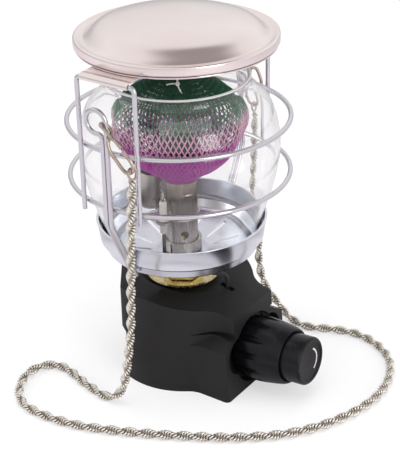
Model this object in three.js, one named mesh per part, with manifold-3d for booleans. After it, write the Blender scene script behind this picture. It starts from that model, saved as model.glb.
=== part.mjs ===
// Table lantern for camping gas: a hollow moulded base over the valve, a chrome pan with the
// burner, a clear globe, a wire cage with a hinged lid, and a chain to hang it by.
// Millimetres, +Z up, the knob points along +X, the front bail is on the -Y side.
import * as THREE from "three";
import { mergeVertices } from "three/addons/utils/BufferGeometryUtils.js";
import Module from "manifold-3d";

const wasm = await Module();
wasm.setup();

// Clearances and cutting allowances
const seatGap = 0.3; // between pieces that rest on each other
const weldDistance = 1e-4; // corners nearer than this are one corner
const runGap = 0.35; // between pieces that move past each other
const overrun = 3; // how far a cutting solid passes its surface

// Facets round a turned piece
const wideFacets = 32;
const bodyFacets = 24;
const smallFacets = 16;
const tinyFacets = 12;
const hookSteps = 36;
const chainSteps = 60;

// Base housing
const baseHeight = 54; // floor to the rear top
const baseRadius = 38; // round body
const baseWall = 2.6;
const baseFlatCut = 4.5; // how far each rear flat cuts into the round body
const baseFlatDeg = 144; // rear flat from the knob's direction
const blockHalfWidth = 28;
const blockFilletRadius = 14; // where the valve block leaves the round body
const blockCornerRadius = 2.5;
const faceReach = 47.5; // axis to the foot of the front face
const faceTopHeight = 45.6;
const upperHalfWidth = 18.5; // above the ledges
const faceTopReach = 44.4; // axis to the top edge of the front face
const ledgeHeight = 34.5; // inner edge of the sloping ledge on each side of the block
const ledgeFallShare = 0.54; // fall of the ledges for each millimetre outwards
const topSlopeStart = 4; // axis to where the top begins to fall
const topRecessRadius = 22.5;
const topRecessDepth = 3.5;
const recessWall = 3; // under the top recess and behind the knob recess
const grooveLength = 11.5; // parting groove along the inner edge of each ledge
const grooveOpening = 2.4;
const grooveDepth = 1.2;
const gripStep = 2; // lower part of each rear flat is set back this far
const gripHeight = 28;
const leadSlotReach = 26.5; // centre of the slot for the ignition lead
const leadSlotLength = 8;
const leadSlotWidth = 3;
const leadSlotSide = 3.2;

// Valve
const knobAxisHeight = 20.6; // on the front face
const knobTiltDeg = 4;
const valveRadius = 9;
const valveFootHeight = 11.6;
const neckRadius = 8;
const neckRise = 5.6; // threaded neck above the base top
const gasWayRadius = 1.5;
const portRadius = 1; // needle seat
const valveBossRadius = 5.5;
const valveBossReach = 15; // front face to the end of the boss, along the knob axis
const spindleRadius = 2.5;
const spindleDepth = 34; // front face to the needle's shoulder
const needleLength = 4;
const glandFlats = 12;
const glandLength = 4.6;
const oringTube = 0.4;
const oringDepth = 22;
const collarRadius = 14.5;
const collarBoreRadius = 5.6; // clears a 7/16 inch cartridge valve
const collarFootHeight = 3.5;
const sealTube = 1;
const pinRadius = 1.1;
const pinLength = 12;

// Knob and push button, along the knob axis from the front face
const knobRecessRadius = 19.2;
const knobRecessDepth = 6;
const scoopRadius = 10.4; // finger scoops on both sides of the knob
const scoopReach = 14.2; // knob axis to the middle of a scoop
const scoopRise = 1.9;
const scoopDepth = 5;
const knobBackRadius = 16.2;
const knobBack = -3.6;
const knobSwellRadius = 17.5; // the side swells like a barrel
const knobSwellReach = 8;
const knobTaperRadius = 16.9;
const knobTaperReach = 16;
const knobFrontRadius = 15.3;
const knobReach = 23.5;
const knobWeb = 9; // thickness of the web behind the button well
const fluteCount = 12;
const fluteRadius = 3.2;
const fluteCutDepth = 1.3;
const fluteTiltDeg = 5.8; // runs the flutes out before the front rim
const buttonRadius = 12.9;
const buttonReach = 34.5;
const buttonBack = 12;
const buttonWall = 1.8;
const buttonRim = 1.4; // rounding of the front rim
const buttonDishRadius = 10.6;
const buttonDishDepth = 0.5;
const wellGap = 0.4;
const piezoRadius = 5.4;
const piezoLength = 13.5;
const plungerRadius = 3;
const plungerOverlap = 6;
const contactRingRadius = 9;
const contactRingWidth = 2.4;
const contactRingThick = 0.8;
const contactPinRadius = 1;
const contactPinLength = 9;

// Neck nut, dished washer and pan
const dishRadius = 19.5; // brass washer under the pan
const dishThick = 0.9;
const dishRim = 2.6;
const nutFlats = 19;
const nutHeight = 4.6;
const jetHolderRadius = 6;
const jetHolderTop = 7.2; // above the pan floor
const jetBoreRadius = 3.2;
const jetRadius = 2.8;
const jetLength = 5;
const panLift = 13.2; // base top to the underside of the pan
const panSheet = 0.9;
const panHubRadius = 14; // flat middle of the floor
const panFloorRadius = 34;
const panFloorRise = 4.2; // the floor rises from the middle to its edge
const panFootRadius = 39.6;
const panFootRise = 2.4;
const panStepRadius = 42;
const panStepRise = 9.2;
const panBandFootRadius = 43.4;
const panLipRadius = 44.9;
const panHeight = 20.5;
const panSlotCount = 12;
const panSlotInner = 17;
const panSlotOuter = 31;
const panSlotWidth = 2.4;
const washerRadius = 10.4;
const washerThick = 0.9;

// Burner
const sleeveRadius = 9.3;
const sleeveHeight = 6.5;
const burnerRadius = 8.5;
const burnerWall = 0.8;
const burnerTop = 44; // above the pan floor
const airHoleCount = 4;
const airHoleRadius = 2.2;
const airHoleRise = 12;
const gauzeRadius = 7.2;
const gauzeRise = 24; // above the burner tube
const gauzeDepth = 3; // inside the burner tube
const rodRadius = 1.3;
const rodTop = 107; // above the pan floor
const bracketRise = 20; // above the pan floor
const bracketThick = 1;
const bracketWidth = 8;
const shieldRadius = 6.3;
const shieldWall = 0.6;
const shieldHeight = 18;
const shieldPlace = [-20.4, 1.4];
const insulatorRadius = 2;
const insulatorLength = 18;
const insulatorPlace = [-2.2, -13.2];
const electrodeRadius = 0.7;
const electrodeRise = 3;
const electrodeFoot = 3; // the rod begins this far up its insulator
const leadRadius = 1;

// Glass globe
const glassWall = 1.9;
const glassHeight = 88.4;
const glassFootRadius = 41.4;
const glassWaistRadius = 51.9;
const glassWaistRise = 52;
const glassNeckRadius = 36.6;
const glassNeckRise = 84;
const glassMouthRadius = 37.3;
const glassFootShares = [[0, 0], [0.21, 0.25], [0.7, 0.58], [1, 1]]; // out and up to the waist
const glassNeckShares = [[0.72, 0.85], [0.16, 0.97], [0, 1]]; // out of the neck and up

// Cage
const ringRadius = 57;
const ringWire = 2.6;
const lowerRingRise = 26.1; // above the pan lip
const ringSpacing = 30.1;
const cageWire = 2.4;
const bailHalfWidth = 17.2;
const bailFootDrop = 4; // legs pass the lower ring by this much
const bailTopRise = 36.1; // above the upper ring
const bailBend = 2.6;
const eyeRise = 15.9; // above the upper ring
const eyeRadius = 6;
const eyeOffset = 4.8;
const eyeBend = 2.3;
const kneeDrop = 8; // below the lower ring
const kneeBend = 6;
const strandFootRise = 3.2; // above the pan foot

// Lid
const lidRadius = 51.4;
const lidSheet = 0.8;
const skirtHeight = 5;
const lidBead = 1.5;
const beadShare = 0.3; // of the bead's radius, where its round begins
const lidFlangeWidth = 5;
const domeRadius = 46;
const domeSink = 0.9; // groove between bead and dome
const domeRise = 8.6;
const domeShares = [[0.86, 0.53], [0.68, 0.76], [0.45, 0.91], [0.22, 0.98]]; // out and up
const earHalfWidth = 14.2;
const hemWall = 0.8;
const hemStartDeg = 169; // where the rolled hem begins, seen from the side

// Mantle, a knitted sock tied at both ends
const mantleWall = 1;
const mantleFootRise = 36.6; // above the pan floor
const mantleHeight = 66;
const mantleRadius = 35;
const mantleFoldCount = 9;
const mantleFoldShare = 0.035;
const mantleTipShare = 0.965; // height at which the upper neck begins
const mantleShares = [
  [0, 0],
  [0, 0.035],
  [0.14, 0.1],
  [0.45, 0.2],
  [0.8, 0.36],
  [1, 0.56],
  [0.91, 0.69],
  [0.66, 0.79],
  [0.28, 0.88],
  [0.02, 0.95],
]; // out from the neck and up
const tieRadius = 0.6;

// Hook and chain
const hookWire = 1.8;
const hookLength = 23.5; // seat on the eye to the middle of the lower bend
const hookHalfWidth = 3.6;
const frontHookLeanDeg = 44;
const rearHookLeanDeg = -7;
const frontSeatDrop = 2.8; // the front hook hangs on the side of its eye, this far below the middle
const endRingLeanShare = 0.5; // of the hook's lean
const hookNoseShares = [[0.98, 0.5], [0.95, 0.36], [0.72, 0.2]]; // across and down
const hookTurnShares = [
  [0.5, -0.3, -1],
  [0.18, -0.9, -0.65],
  [0, -1.1, 0],
  [0, -0.6, 0.8],
  [0, 0, 1],
  [0, 0.6, 0.8],
  [-0.05, 1.15, 0],
  [-0.4, 1.6, -0.9],
]; // across, down in steps of the reach past the eye's wire, out from the wire
const hookBackShares = [
  [-0.95, 0.4, -1],
  [-1, 0.62, -1],
  [-1, 0.84, -1],
  [-0.8, 0.94, -1],
  [-0.4, 0.988, -1],
  [0, 1, -1],
  [0.4, 0.988, -1],
  [0.8, 0.94, -1],
  [1, 0.84, -1],
  [1, 0.66, -1],
  [0.98, 0.54, -1],
]; // across, down, out from the wire
const endRingRadius = 2.7;
const endRingWire = 1.3;
const chainDiameter = 5;

// Heights and places that follow from the sizes above
const baseFlatReach = baseRadius - baseFlatCut;
const panFloor = baseHeight + panLift;
const panLip = panFloor + panHeight;
const lowerRingHeight = panLip + lowerRingRise;
const upperRingHeight = lowerRingHeight + ringSpacing;
const eyeHeight = upperRingHeight + eyeRise;
const bailTop = upperRingHeight + bailTopRise;
const cageRadius = ringRadius + ringWire / 2 + seatGap + cageWire / 2;
const bailReach = Math.sqrt(cageRadius ** 2 - bailHalfWidth ** 2);
const knobTilt = THREE.MathUtils.degToRad(knobTiltDeg);
const faceSlope = (faceReach - faceTopReach) / faceTopHeight;
const knobFaceReach = faceReach - faceSlope * knobAxisHeight;

// Geometry helpers

// A closed geometry as a solid that can be joined and cut.
function solidOf(geometry) {
  const plain = geometry.index ? geometry.toNonIndexed() : geometry.clone();
  plain.deleteAttribute("normal");
  plain.deleteAttribute("uv");
  const merged = mergeVertices(plain, weldDistance);
  const mesh = new wasm.Mesh({
    numProp: 3,
    vertProperties: merged.attributes.position.array,
    triVerts: new Uint32Array(merged.index.array),
  });
  return new wasm.Manifold(mesh);
}

function geometryOf(solid) {
  const mesh = solid.getMesh();
  const shared = new THREE.BufferGeometry();
  shared.setAttribute("position", new THREE.BufferAttribute(mesh.vertProperties, 3));
  shared.setIndex(new THREE.BufferAttribute(mesh.triVerts, 1));
  const geometry = shared.toNonIndexed();
  geometry.computeVertexNormals();
  return geometry;
}

// A body of revolution about Z from a profile of [radius, height] points.
function turned(profile, segments = bodyFacets) {
  let turn = 0;
  profile.forEach(([r, z], i) => {
    const [r2, z2] = profile[(i + 1) % profile.length];
    turn += r * z2 - r2 * z;
  });
  const points = profile.map(([r, z]) => new THREE.Vector2(r, z));
  const onAxis = profile[0][0] === 0 && profile[profile.length - 1][0] === 0;
  if (!onAxis) points.push(points[0].clone());
  if (turn < 0) points.reverse();
  return new THREE.LatheGeometry(points, segments).rotateX(Math.PI / 2);
}

function disc(radius, low, high, segments = bodyFacets) {
  return turned([[0, low], [radius, low], [radius, high], [0, high]], segments);
}

function ringBody(inner, outer, low, high, segments = bodyFacets) {
  return turned([[inner, low], [outer, low], [outer, high], [inner, high]], segments);
}

// A prism with an even number of flats, standing on Z.
function prism(flats, width, low, high) {
  const radius = width / 2 / Math.cos(Math.PI / flats);
  return turned([[0, low], [radius, low], [radius, high], [0, high]], flats);
}

function box(x0, x1, y0, y1, z0, z1) {
  const geometry = new THREE.BoxGeometry(x1 - x0, y1 - y0, z1 - z0);
  return geometry.translate((x0 + x1) / 2, (y0 + y1) / 2, (z0 + z1) / 2);
}

// An outline of [first, second] points extruded by a depth.
function extruded(points, depth) {
  const shape = new THREE.Shape(points.map(([a, b]) => new THREE.Vector2(a, b)));
  return new THREE.ExtrudeGeometry(shape, { depth, bevelEnabled: false, steps: 1 });
}

// An outline in X and Z, extruded between two values of Y.
function acrossY(points, y0, y1) {
  return extruded(points, y1 - y0).rotateX(Math.PI / 2).translate(0, y1, 0);
}

// An outline in Y and Z, extruded between two values of X.
function acrossX(points, x0, x1) {
  const geometry = extruded(points, x1 - x0);
  return geometry.rotateX(Math.PI / 2).rotateZ(Math.PI / 2).translate(x0, 0, 0);
}

// Turns a body made along Z so that it lies along the knob axis, with 0 on the front face.
function onKnobAxis(geometry) {
  geometry.rotateY(Math.PI / 2 - knobTilt);
  return geometry.translate(knobFaceReach, 0, knobAxisHeight);
}

// A wire path through corner points, each corner rounded to its own bend.
class BentWire extends THREE.Curve {
  constructor(corners, stepsPerBend = 5) {
    super();
    this.stations = [];
    const at = corners.map(([x, y, z]) => new THREE.Vector3(x, y, z));
    for (let i = 0; i < at.length; i++) {
      const bend = corners[i][3] || 0;
      if (i === 0 || i === at.length - 1 || bend === 0) {
        const from = at[Math.max(i - 1, 0)];
        const to = at[Math.min(i + 1, at.length - 1)];
        this.stations.push([at[i], to.clone().sub(from).normalize()]);
        continue;
      }
      const into = at[i].clone().sub(at[i - 1]).normalize();
      const out = at[i + 1].clone().sub(at[i]).normalize();
      const angle = into.angleTo(out);
      const start = at[i].clone().addScaledVector(into, -bend * Math.tan(angle / 2));
      const side = out.clone().addScaledVector(into, -out.dot(into)).normalize();
      const steps = Math.max(1, Math.round((stepsPerBend * angle) / (Math.PI / 2)));
      for (let k = 0; k <= steps; k++) {
        const turn = (angle * k) / steps;
        const point = start
          .clone()
          .addScaledVector(into, bend * Math.sin(turn))
          .addScaledVector(side, bend * (1 - Math.cos(turn)));
        const tangent = into.clone().multiplyScalar(Math.cos(turn));
        this.stations.push([point, tangent.addScaledVector(side, Math.sin(turn))]);
      }
    }
  }
  get steps() {
    return this.stations.length - 1;
  }
  getPointAt(share) {
    return this.stations[Math.round(share * this.steps)][0].clone();
  }
  getTangentAt(share) {
    return this.stations[Math.round(share * this.steps)][1].clone().normalize();
  }
}

function roundSection(diameter, sides) {
  const points = [];
  for (let i = 0; i < sides; i++) {
    const angle = (2 * Math.PI * i) / sides;
    points.push(new THREE.Vector2(Math.cos(angle), Math.sin(angle)).multiplyScalar(diameter / 2));
  }
  return new THREE.Shape(points);
}

// A round wire or tube swept along a curve.
function swept(curve, diameter, sides, steps) {
  const settings = { extrudePath: curve, steps, bevelEnabled: false };
  return new THREE.ExtrudeGeometry(roundSection(diameter, sides), settings);
}

function bentWire(corners, diameter, sides = 8, stepsPerBend = 5) {
  const curve = new BentWire(corners, stepsPerBend);
  return swept(curve, diameter, sides, curve.steps);
}

function join(...geometries) {
  return geometries.map(solidOf).reduce((a, b) => a.add(b));
}

function cut(solid, ...geometries) {
  return geometries.map(solidOf).reduce((a, b) => a.subtract(b), solid);
}

// Base housing: the crossing of a plan, a side view and a front view

// The middle of the fillet beside a block of a half width, and its angle from the knob.
function blockFillet(halfWidth) {
  const y = halfWidth + blockFilletRadius;
  const x = Math.sqrt((baseRadius + blockFilletRadius) ** 2 - y ** 2);
  return [x, y, Math.atan2(y, x)];
}

// The plan for a half width of the block, at a distance inside the outer surface.
function basePlan(inset, halfWidth) {
  const radius = baseRadius - inset;
  const half = halfWidth - inset;
  const reach = faceReach - inset;
  const corner = Math.max(blockCornerRadius - inset, blockCornerRadius / 5);
  const fillet = blockFilletRadius + inset;
  const [filletX, filletY, meet] = blockFillet(halfWidth);
  const flatMiddle = THREE.MathUtils.degToRad(baseFlatDeg);
  const flatHalf = Math.acos((baseFlatReach - inset) / radius);
  const points = [];
  const arc = (cx, cy, r, from, to, steps) => {
    for (let i = 0; i <= steps; i++) {
      const angle = from + ((to - from) * i) / steps;
      points.push([cx + r * Math.cos(angle), cy + r * Math.sin(angle)]);
    }
  };
  arc(reach - corner, half - corner, corner, 0, Math.PI / 2, 3);
  arc(filletX, filletY, fillet, -Math.PI / 2, meet - Math.PI, 5);
  arc(0, 0, radius, meet, flatMiddle - flatHalf, 8);
  arc(0, 0, radius, flatMiddle + flatHalf, Math.PI, 2);
  const mirrored = points.slice(0, -1).reverse().map(([x, y]) => [x, -y]);
  return points.concat(mirrored);
}

function baseForm(inset, topInset) {
  const top = baseHeight - topInset;
  const faceTop = faceTopHeight - topInset;
  const rear = -baseRadius - overrun;
  const wide = baseRadius + overrun;
  const low = inset > 0 ? -overrun : 0;
  const faceAt = (height) => faceReach - faceSlope * height - inset;
  const tall = baseHeight + overrun;
  const plan = extruded(basePlan(inset, blockHalfWidth), tall).translate(0, 0, low);
  const upperPlan = extruded(basePlan(inset, upperHalfWidth), tall).translate(0, 0, low);
  const side = [
    [rear, low],
    [faceAt(low), low],
    [faceAt(faceTop), faceTop],
    [topSlopeStart, top],
    [rear, top],
  ];
  const ledge = ledgeHeight - inset;
  const ledgeFoot = ledge - ledgeFallShare * (wide - upperHalfWidth + inset);
  const underLedges = [
    [-wide, low],
    [wide, low],
    [wide, ledgeFoot],
    [upperHalfWidth - inset, ledge],
    [inset - upperHalfWidth, ledge],
    [-wide, ledgeFoot],
  ];
  const blockStart = (baseRadius - inset) * Math.cos(blockFillet(blockHalfWidth)[2]);
  const lower = join(plan).intersect(join(acrossX(underLedges, blockStart, faceReach + overrun)));
  return join(acrossY(side, -wide, wide)).intersect(lower.add(join(upperPlan)));
}

function baseHousing() {
  const plate = baseHeight - topRecessDepth - recessWall;
  const topPad = disc(topRecessRadius + baseWall, plate, baseHeight);
  const knobPad = onKnobAxis(
    disc(knobRecessRadius + baseWall, -knobRecessDepth - recessWall, 0, wideFacets),
  );
  const scoopPads = [-1, 1].map((side) => scoop(side, baseWall, recessWall, 0));
  const outer = baseForm(0, 0);
  const cavity = cut(baseForm(baseWall, baseWall), gripCut(-1, baseWall), gripCut(1, baseWall));
  let shell = outer.subtract(cavity);
  shell = shell.add(join(topPad, knobPad, ...scoopPads).intersect(outer));
  const recess = disc(topRecessRadius, baseHeight - topRecessDepth, baseHeight + overrun, wideFacets);
  const neckHole = disc(neckRadius + seatGap, 0, baseHeight);
  const knobRecess = onKnobAxis(disc(knobRecessRadius, -knobRecessDepth, overrun, wideFacets));
  const spindleHole = onKnobAxis(disc(spindleRadius + runGap, -valveBossReach, overrun, tinyFacets));
  const pinHole = onKnobAxis(
    disc(contactPinRadius + seatGap, -valveBossReach, overrun, tinyFacets).translate(
      -contactRingRadius,
      0,
      0,
    ),
  );
  const slot = box(
    leadSlotReach - leadSlotLength / 2,
    leadSlotReach + leadSlotLength / 2,
    leadSlotSide - leadSlotWidth / 2,
    leadSlotSide + leadSlotWidth / 2,
    ledgeHeight - topRecessDepth,
    baseHeight + overrun,
  );
  shell = cut(shell, recess, neckHole, knobRecess, spindleHole, pinHole, slot);
  for (const side of [-1, 1]) {
    shell = cut(shell, scoop(side, 0, 0, overrun), partingGroove(side), gripCut(side, 0));
  }
  return geometryOf(shell);
}

// The room for a finger beside the knob, or the wall round it.
function scoop(side, wall, floor, front) {
  const round = disc(scoopRadius + wall, -scoopDepth - floor, front);
  return onKnobAxis(round.translate(-scoopRise, side * scoopReach, 0));
}

// A wedge-shaped groove along the inner edge of each ledge.
function partingGroove(side) {
  const far = faceReach + overrun;
  const start = faceReach - grooveLength;
  const outline = [
    [start, ledgeHeight],
    [far, ledgeHeight - grooveOpening / 2],
    [far, ledgeHeight + grooveOpening / 2],
  ];
  const inner = upperHalfWidth - grooveDepth;
  const outerY = blockHalfWidth + overrun;
  return side > 0 ? acrossY(outline, inner, outerY) : acrossY(outline, -outerY, -inner);
}

// The set-back grip under the upper band, on each rear flat, at a distance inside the surface.
function gripCut(side, inset) {
  const depth = baseFlatReach - gripStep - inset;
  const high = gripHeight + inset;
  const outline = [
    [depth, -overrun],
    [baseRadius + overrun, -overrun],
    [baseRadius + overrun, high + baseRadius + overrun - depth],
    [depth, high],
  ];
  const geometry = acrossY(outline, -baseRadius, baseRadius);
  return geometry.rotateZ(side * THREE.MathUtils.degToRad(baseFlatDeg));
}

// Valve train inside the base
const valveSeatHeight = baseHeight - topRecessDepth - recessWall - seatGap;
const neckTop = baseHeight + neckRise;

function valveBody() {
  const column = disc(valveRadius, valveFootHeight, valveSeatHeight);
  const neck = disc(neckRadius, valveFootHeight + overrun, neckTop);
  const boss = onKnobAxis(disc(valveBossRadius, -knobFaceReach, -valveBossReach, smallFacets));
  const gasWay = disc(gasWayRadius, 0, neckTop + overrun, tinyFacets);
  const spindleBore = onKnobAxis(disc(spindleRadius + runGap, -spindleDepth, 0, tinyFacets));
  const port = onKnobAxis(disc(portRadius, -knobFaceReach, 0, tinyFacets));
  return geometryOf(cut(join(column, neck, boss), gasWay, spindleBore, port));
}

function cartridgeCollar() {
  const top = valveFootHeight - seatGap;
  const shoulder = top - 2 * sealTube - 2 * seatGap;
  const profile = [
    [collarBoreRadius, collarFootHeight],
    [collarRadius, collarFootHeight],
    [collarRadius, top],
    [collarBoreRadius + sealTube, top],
    [collarBoreRadius + sealTube, shoulder],
    [collarBoreRadius, shoulder],
  ];
  return turned(profile);
}

function cartridgeSeal() {
  const high = valveFootHeight - seatGap;
  return ringBody(pinRadius + 2 * sealTube, collarBoreRadius, high - sealTube, high, smallFacets);
}

function valvePin() {
  const low = valveFootHeight - pinLength / 2;
  return disc(pinRadius, low, low + pinLength, tinyFacets);
}

function valveSpindle() {
  const shaftEnd = knobBack + knobWeb - seatGap;
  const profile = [
    [0, -spindleDepth - needleLength + seatGap],
    [portRadius / 2, -spindleDepth - needleLength + seatGap],
    [portRadius / 2, -spindleDepth + seatGap],
    [spindleRadius, -spindleDepth + needleLength],
    [spindleRadius, -oringDepth - oringTube - seatGap],
    [spindleRadius - 2 * oringTube, -oringDepth - oringTube - seatGap],
    [spindleRadius - 2 * oringTube, -oringDepth + oringTube + seatGap],
    [spindleRadius, -oringDepth + oringTube + seatGap],
    [spindleRadius, shaftEnd],
    [0, shaftEnd],
  ];
  return onKnobAxis(turned(profile, tinyFacets));
}

function spindleOring() {
  const ring = new THREE.TorusGeometry(spindleRadius, oringTube / 2, 4, tinyFacets);
  return onKnobAxis(ring.translate(0, 0, -oringDepth));
}

function glandNut() {
  const high = -valveBossReach + seatGap + glandLength;
  const nut = prism(6, glandFlats, -valveBossReach + seatGap, high);
  const bore = disc(spindleRadius + runGap, -valveBossReach - overrun, 0, tinyFacets);
  return onKnobAxis(geometryOf(cut(join(nut), bore)));
}

// Knob, button and piezo igniter
function controlKnob() {
  const wellFloor = knobBack + knobWeb;
  const well = buttonRadius + wellGap;
  const chamfer = buttonRim / 2;
  const profile = [
    [spindleRadius + seatGap, knobBack],
    [knobBackRadius - chamfer, knobBack],
    [knobBackRadius, knobBack + chamfer],
    [knobSwellRadius, knobSwellReach],
    [knobTaperRadius, knobTaperReach],
    [knobFrontRadius, knobReach - chamfer],
    [knobFrontRadius - chamfer, knobReach],
    [well, knobReach],
    [well, wellFloor],
    [spindleRadius + seatGap, wellFloor],
  ];
  let knob = join(turned(profile, wideFacets));
  for (let i = 0; i < fluteCount; i++) {
    const angle = (2 * Math.PI * (i + 1 / 2)) / fluteCount;
    const reach = knobBackRadius + fluteRadius - fluteCutDepth;
    const flute = disc(fluteRadius, -overrun, knobReach, tinyFacets);
    flute.rotateY(THREE.MathUtils.degToRad(fluteTiltDeg));
    knob = cut(knob, flute.translate(reach, 0, knobBack).rotateZ(angle));
  }
  return onKnobAxis(geometryOf(knob));
}

function pushButton() {
  const inner = buttonRadius - buttonWall;
  const roof = buttonReach - 2 * buttonWall;
  const profile = [
    [inner, buttonBack],
    [buttonRadius, buttonBack],
    [buttonRadius, buttonReach - buttonRim],
    [buttonRadius - buttonRim / 3, buttonReach - buttonRim / 3],
    [buttonRadius - buttonRim, buttonReach],
    [buttonDishRadius, buttonReach],
    [buttonDishRadius, buttonReach - buttonDishDepth],
    [0, buttonReach - buttonDishDepth],
    [0, roof],
    [inner, roof],
  ];
  return onKnobAxis(turned(rotateToAxis(profile)));
}

// Starts a closed profile at its second point on the axis, so that it ends on the first.
function rotateToAxis(profile) {
  const first = profile.findIndex(([r], i) => r === 0 && profile[i - 1] && profile[i - 1][0] === 0);
  return profile.slice(first).concat(profile.slice(0, first));
}

const piezoFoot = knobBack + knobWeb + seatGap;

function piezoIgniter() {
  const floor = piezoFoot + piezoRadius - plungerRadius;
  const profile = [
    [0, piezoFoot],
    [piezoRadius, piezoFoot],
    [piezoRadius, piezoFoot + piezoLength],
    [plungerRadius + runGap, piezoFoot + piezoLength],
    [plungerRadius + runGap, floor],
    [0, floor],
  ];
  return onKnobAxis(turned(profile, smallFacets));
}

function piezoPlunger() {
  const roof = buttonReach - 2 * buttonWall - seatGap;
  return onKnobAxis(disc(plungerRadius, piezoFoot + piezoLength - plungerOverlap, roof, tinyFacets));
}

function contactRing() {
  const half = contactRingWidth / 2;
  const high = knobBack - seatGap;
  return onKnobAxis(
    ringBody(
      contactRingRadius - half,
      contactRingRadius + half,
      high - contactRingThick,
      high,
    ),
  );
}

const contactPinTip = knobBack - seatGap - contactRingThick - runGap;

function contactPin() {
  const pin = disc(contactPinRadius, contactPinTip - contactPinLength, contactPinTip, tinyFacets);
  return onKnobAxis(pin.translate(-contactRingRadius, 0, 0));
}

// Washer, nut and jet holder above the base
const dishFloor = baseHeight - topRecessDepth + seatGap;

function dishedWasher() {
  const profile = [
    [neckRadius + seatGap, dishFloor],
    [dishRadius - dishRim, dishFloor],
    [dishRadius, dishFloor + dishRim],
    [dishRadius - dishThick, dishFloor + dishRim + dishThick / 2],
    [dishRadius - dishRim - dishThick / 2, dishFloor + dishThick],
    [neckRadius + seatGap, dishFloor + dishThick],
  ];
  return turned(profile, wideFacets);
}

const nutFoot = dishFloor + dishThick + seatGap;

function neckNut() {
  const nut = prism(6, nutFlats, nutFoot, nutFoot + nutHeight);
  const bore = disc(neckRadius + seatGap, nutFoot - overrun, nutFoot + nutHeight + overrun);
  return geometryOf(cut(join(nut), bore));
}

function jetHolder() {
  const profile = [
    [gasWayRadius, neckTop + seatGap],
    [jetHolderRadius, neckTop + seatGap],
    [jetHolderRadius, panFloor - washerThick - 2 * seatGap - panSheet],
    [washerRadius - panSheet, panFloor - washerThick - 2 * seatGap - panSheet],
    [washerRadius - panSheet, panFloor - washerThick - 2 * seatGap],
    [jetHolderRadius, panFloor - washerThick - 2 * seatGap],
    [jetHolderRadius, panFloor + jetHolderTop],
    [jetBoreRadius, panFloor + jetHolderTop],
    [jetBoreRadius, panFloor],
    [gasWayRadius, panFloor],
  ];
  return turned(profile);
}

function gasJet() {
  const low = panFloor + seatGap;
  const profile = [
    [gasWayRadius / 5, low],
    [jetRadius, low],
    [jetRadius, low + jetLength],
    [jetRadius / 2, low + jetLength + jetRadius / 2],
    [gasWayRadius / 5, low + jetLength + jetRadius / 2],
  ];
  return turned(profile, tinyFacets);
}

function panWasher() {
  const high = panFloor - seatGap;
  return ringBody(jetHolderRadius + seatGap, washerRadius, high - washerThick, high);
}

// The chrome pan, a pressing with air slots in its floor
function basePan() {
  const outer = [
    [jetHolderRadius + seatGap, 0],
    [panHubRadius, 0],
    [panFloorRadius, panFloorRise],
    [panFootRadius, panFootRise],
    [panStepRadius, panStepRise - panSheet],
    [panBandFootRadius, panStepRise],
    [panLipRadius, panHeight - panSheet],
    [panLipRadius + panSheet / 2, panHeight - panSheet / 2],
    [panLipRadius, panHeight],
  ];
  const inner = [
    [panLipRadius - panSheet, panHeight - panSheet / 2],
    [panBandFootRadius - panSheet, panStepRise + panSheet],
    [panStepRadius - panSheet, panStepRise],
    [panFootRadius - panSheet, panFootRise + 2 * panSheet],
    [panFloorRadius, panFloorRise + panSheet],
    [panHubRadius, panSheet],
    [jetHolderRadius + seatGap, panSheet],
  ];
  let pan = join(turned(outer.concat(inner), wideFacets)).translate([0, 0, panFloor]);
  for (let i = 0; i < panSlotCount; i++) {
    const slot = box(
      panSlotInner,
      panSlotOuter,
      -panSlotWidth / 2,
      panSlotWidth / 2,
      panFloor - overrun,
      panFloor + panStepRise,
    );
    pan = cut(pan, slot.rotateZ((2 * Math.PI * (i + 1 / 2)) / panSlotCount));
  }
  const leadHole = disc(leadRadius + seatGap, panFloor - overrun, panFloor + overrun, tinyFacets);
  pan = cut(pan, leadHole.translate(...insulatorPlace, 0));
  return geometryOf(pan);
}

// Burner
const sleeveFoot = panFloor + panSheet + seatGap;
const burnerFoot = sleeveFoot + sleeveHeight / 2;
const burnerTopHeight = panFloor + burnerTop;

function burnerSleeve() {
  const inner = burnerRadius + seatGap;
  const profile = [
    [jetHolderRadius + seatGap, sleeveFoot],
    [sleeveRadius + panSheet, sleeveFoot],
    [sleeveRadius + panSheet, sleeveFoot + sleeveHeight],
    [inner, sleeveFoot + sleeveHeight],
    [inner, burnerFoot - seatGap],
    [jetHolderRadius + seatGap, burnerFoot - seatGap],
  ];
  return turned(profile);
}

function burnerTube() {
  const inner = burnerRadius - burnerWall;
  let tube = join(ringBody(inner, burnerRadius, burnerFoot, burnerTopHeight));
  for (let i = 0; i < airHoleCount; i++) {
    const hole = disc(airHoleRadius, 0, burnerRadius + overrun, tinyFacets).rotateY(Math.PI / 2);
    hole.rotateZ((2 * Math.PI * (i + 1 / 2)) / airHoleCount);
    tube = cut(tube, hole.translate(0, 0, panFloor + airHoleRise));
  }
  return geometryOf(tube);
}

const gauzeFoot = burnerTopHeight - gauzeDepth;

function burnerGauze() {
  const outer = gauzeRadius;
  const inner = gauzeRadius - burnerWall;
  const top = burnerTopHeight + gauzeRise;
  const profile = [
    [inner, gauzeFoot],
    [outer, gauzeFoot],
    [outer, top - outer / 2],
    [outer / 2, top - outer / 8],
    [0, top],
    [0, top - burnerWall],
    [inner / 2, top - outer / 8 - burnerWall],
    [inner, top - outer / 2 - burnerWall / 2],
  ];
  return turned(rotateToAxis(profile), smallFacets);
}

function mantleRod() {
  const foot = burnerTopHeight + gauzeRise + seatGap;
  const top = panFloor + rodTop;
  const profile = [
    [0, foot],
    [3 * rodRadius, foot + rodRadius / 2],
    [3 * rodRadius, foot + rodRadius],
    [rodRadius, foot + 2 * rodRadius],
    [rodRadius, top - 2 * rodRadius],
    [2 * rodRadius, top - rodRadius],
    [0, top],
  ];
  return turned(profile, tinyFacets);
}

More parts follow.
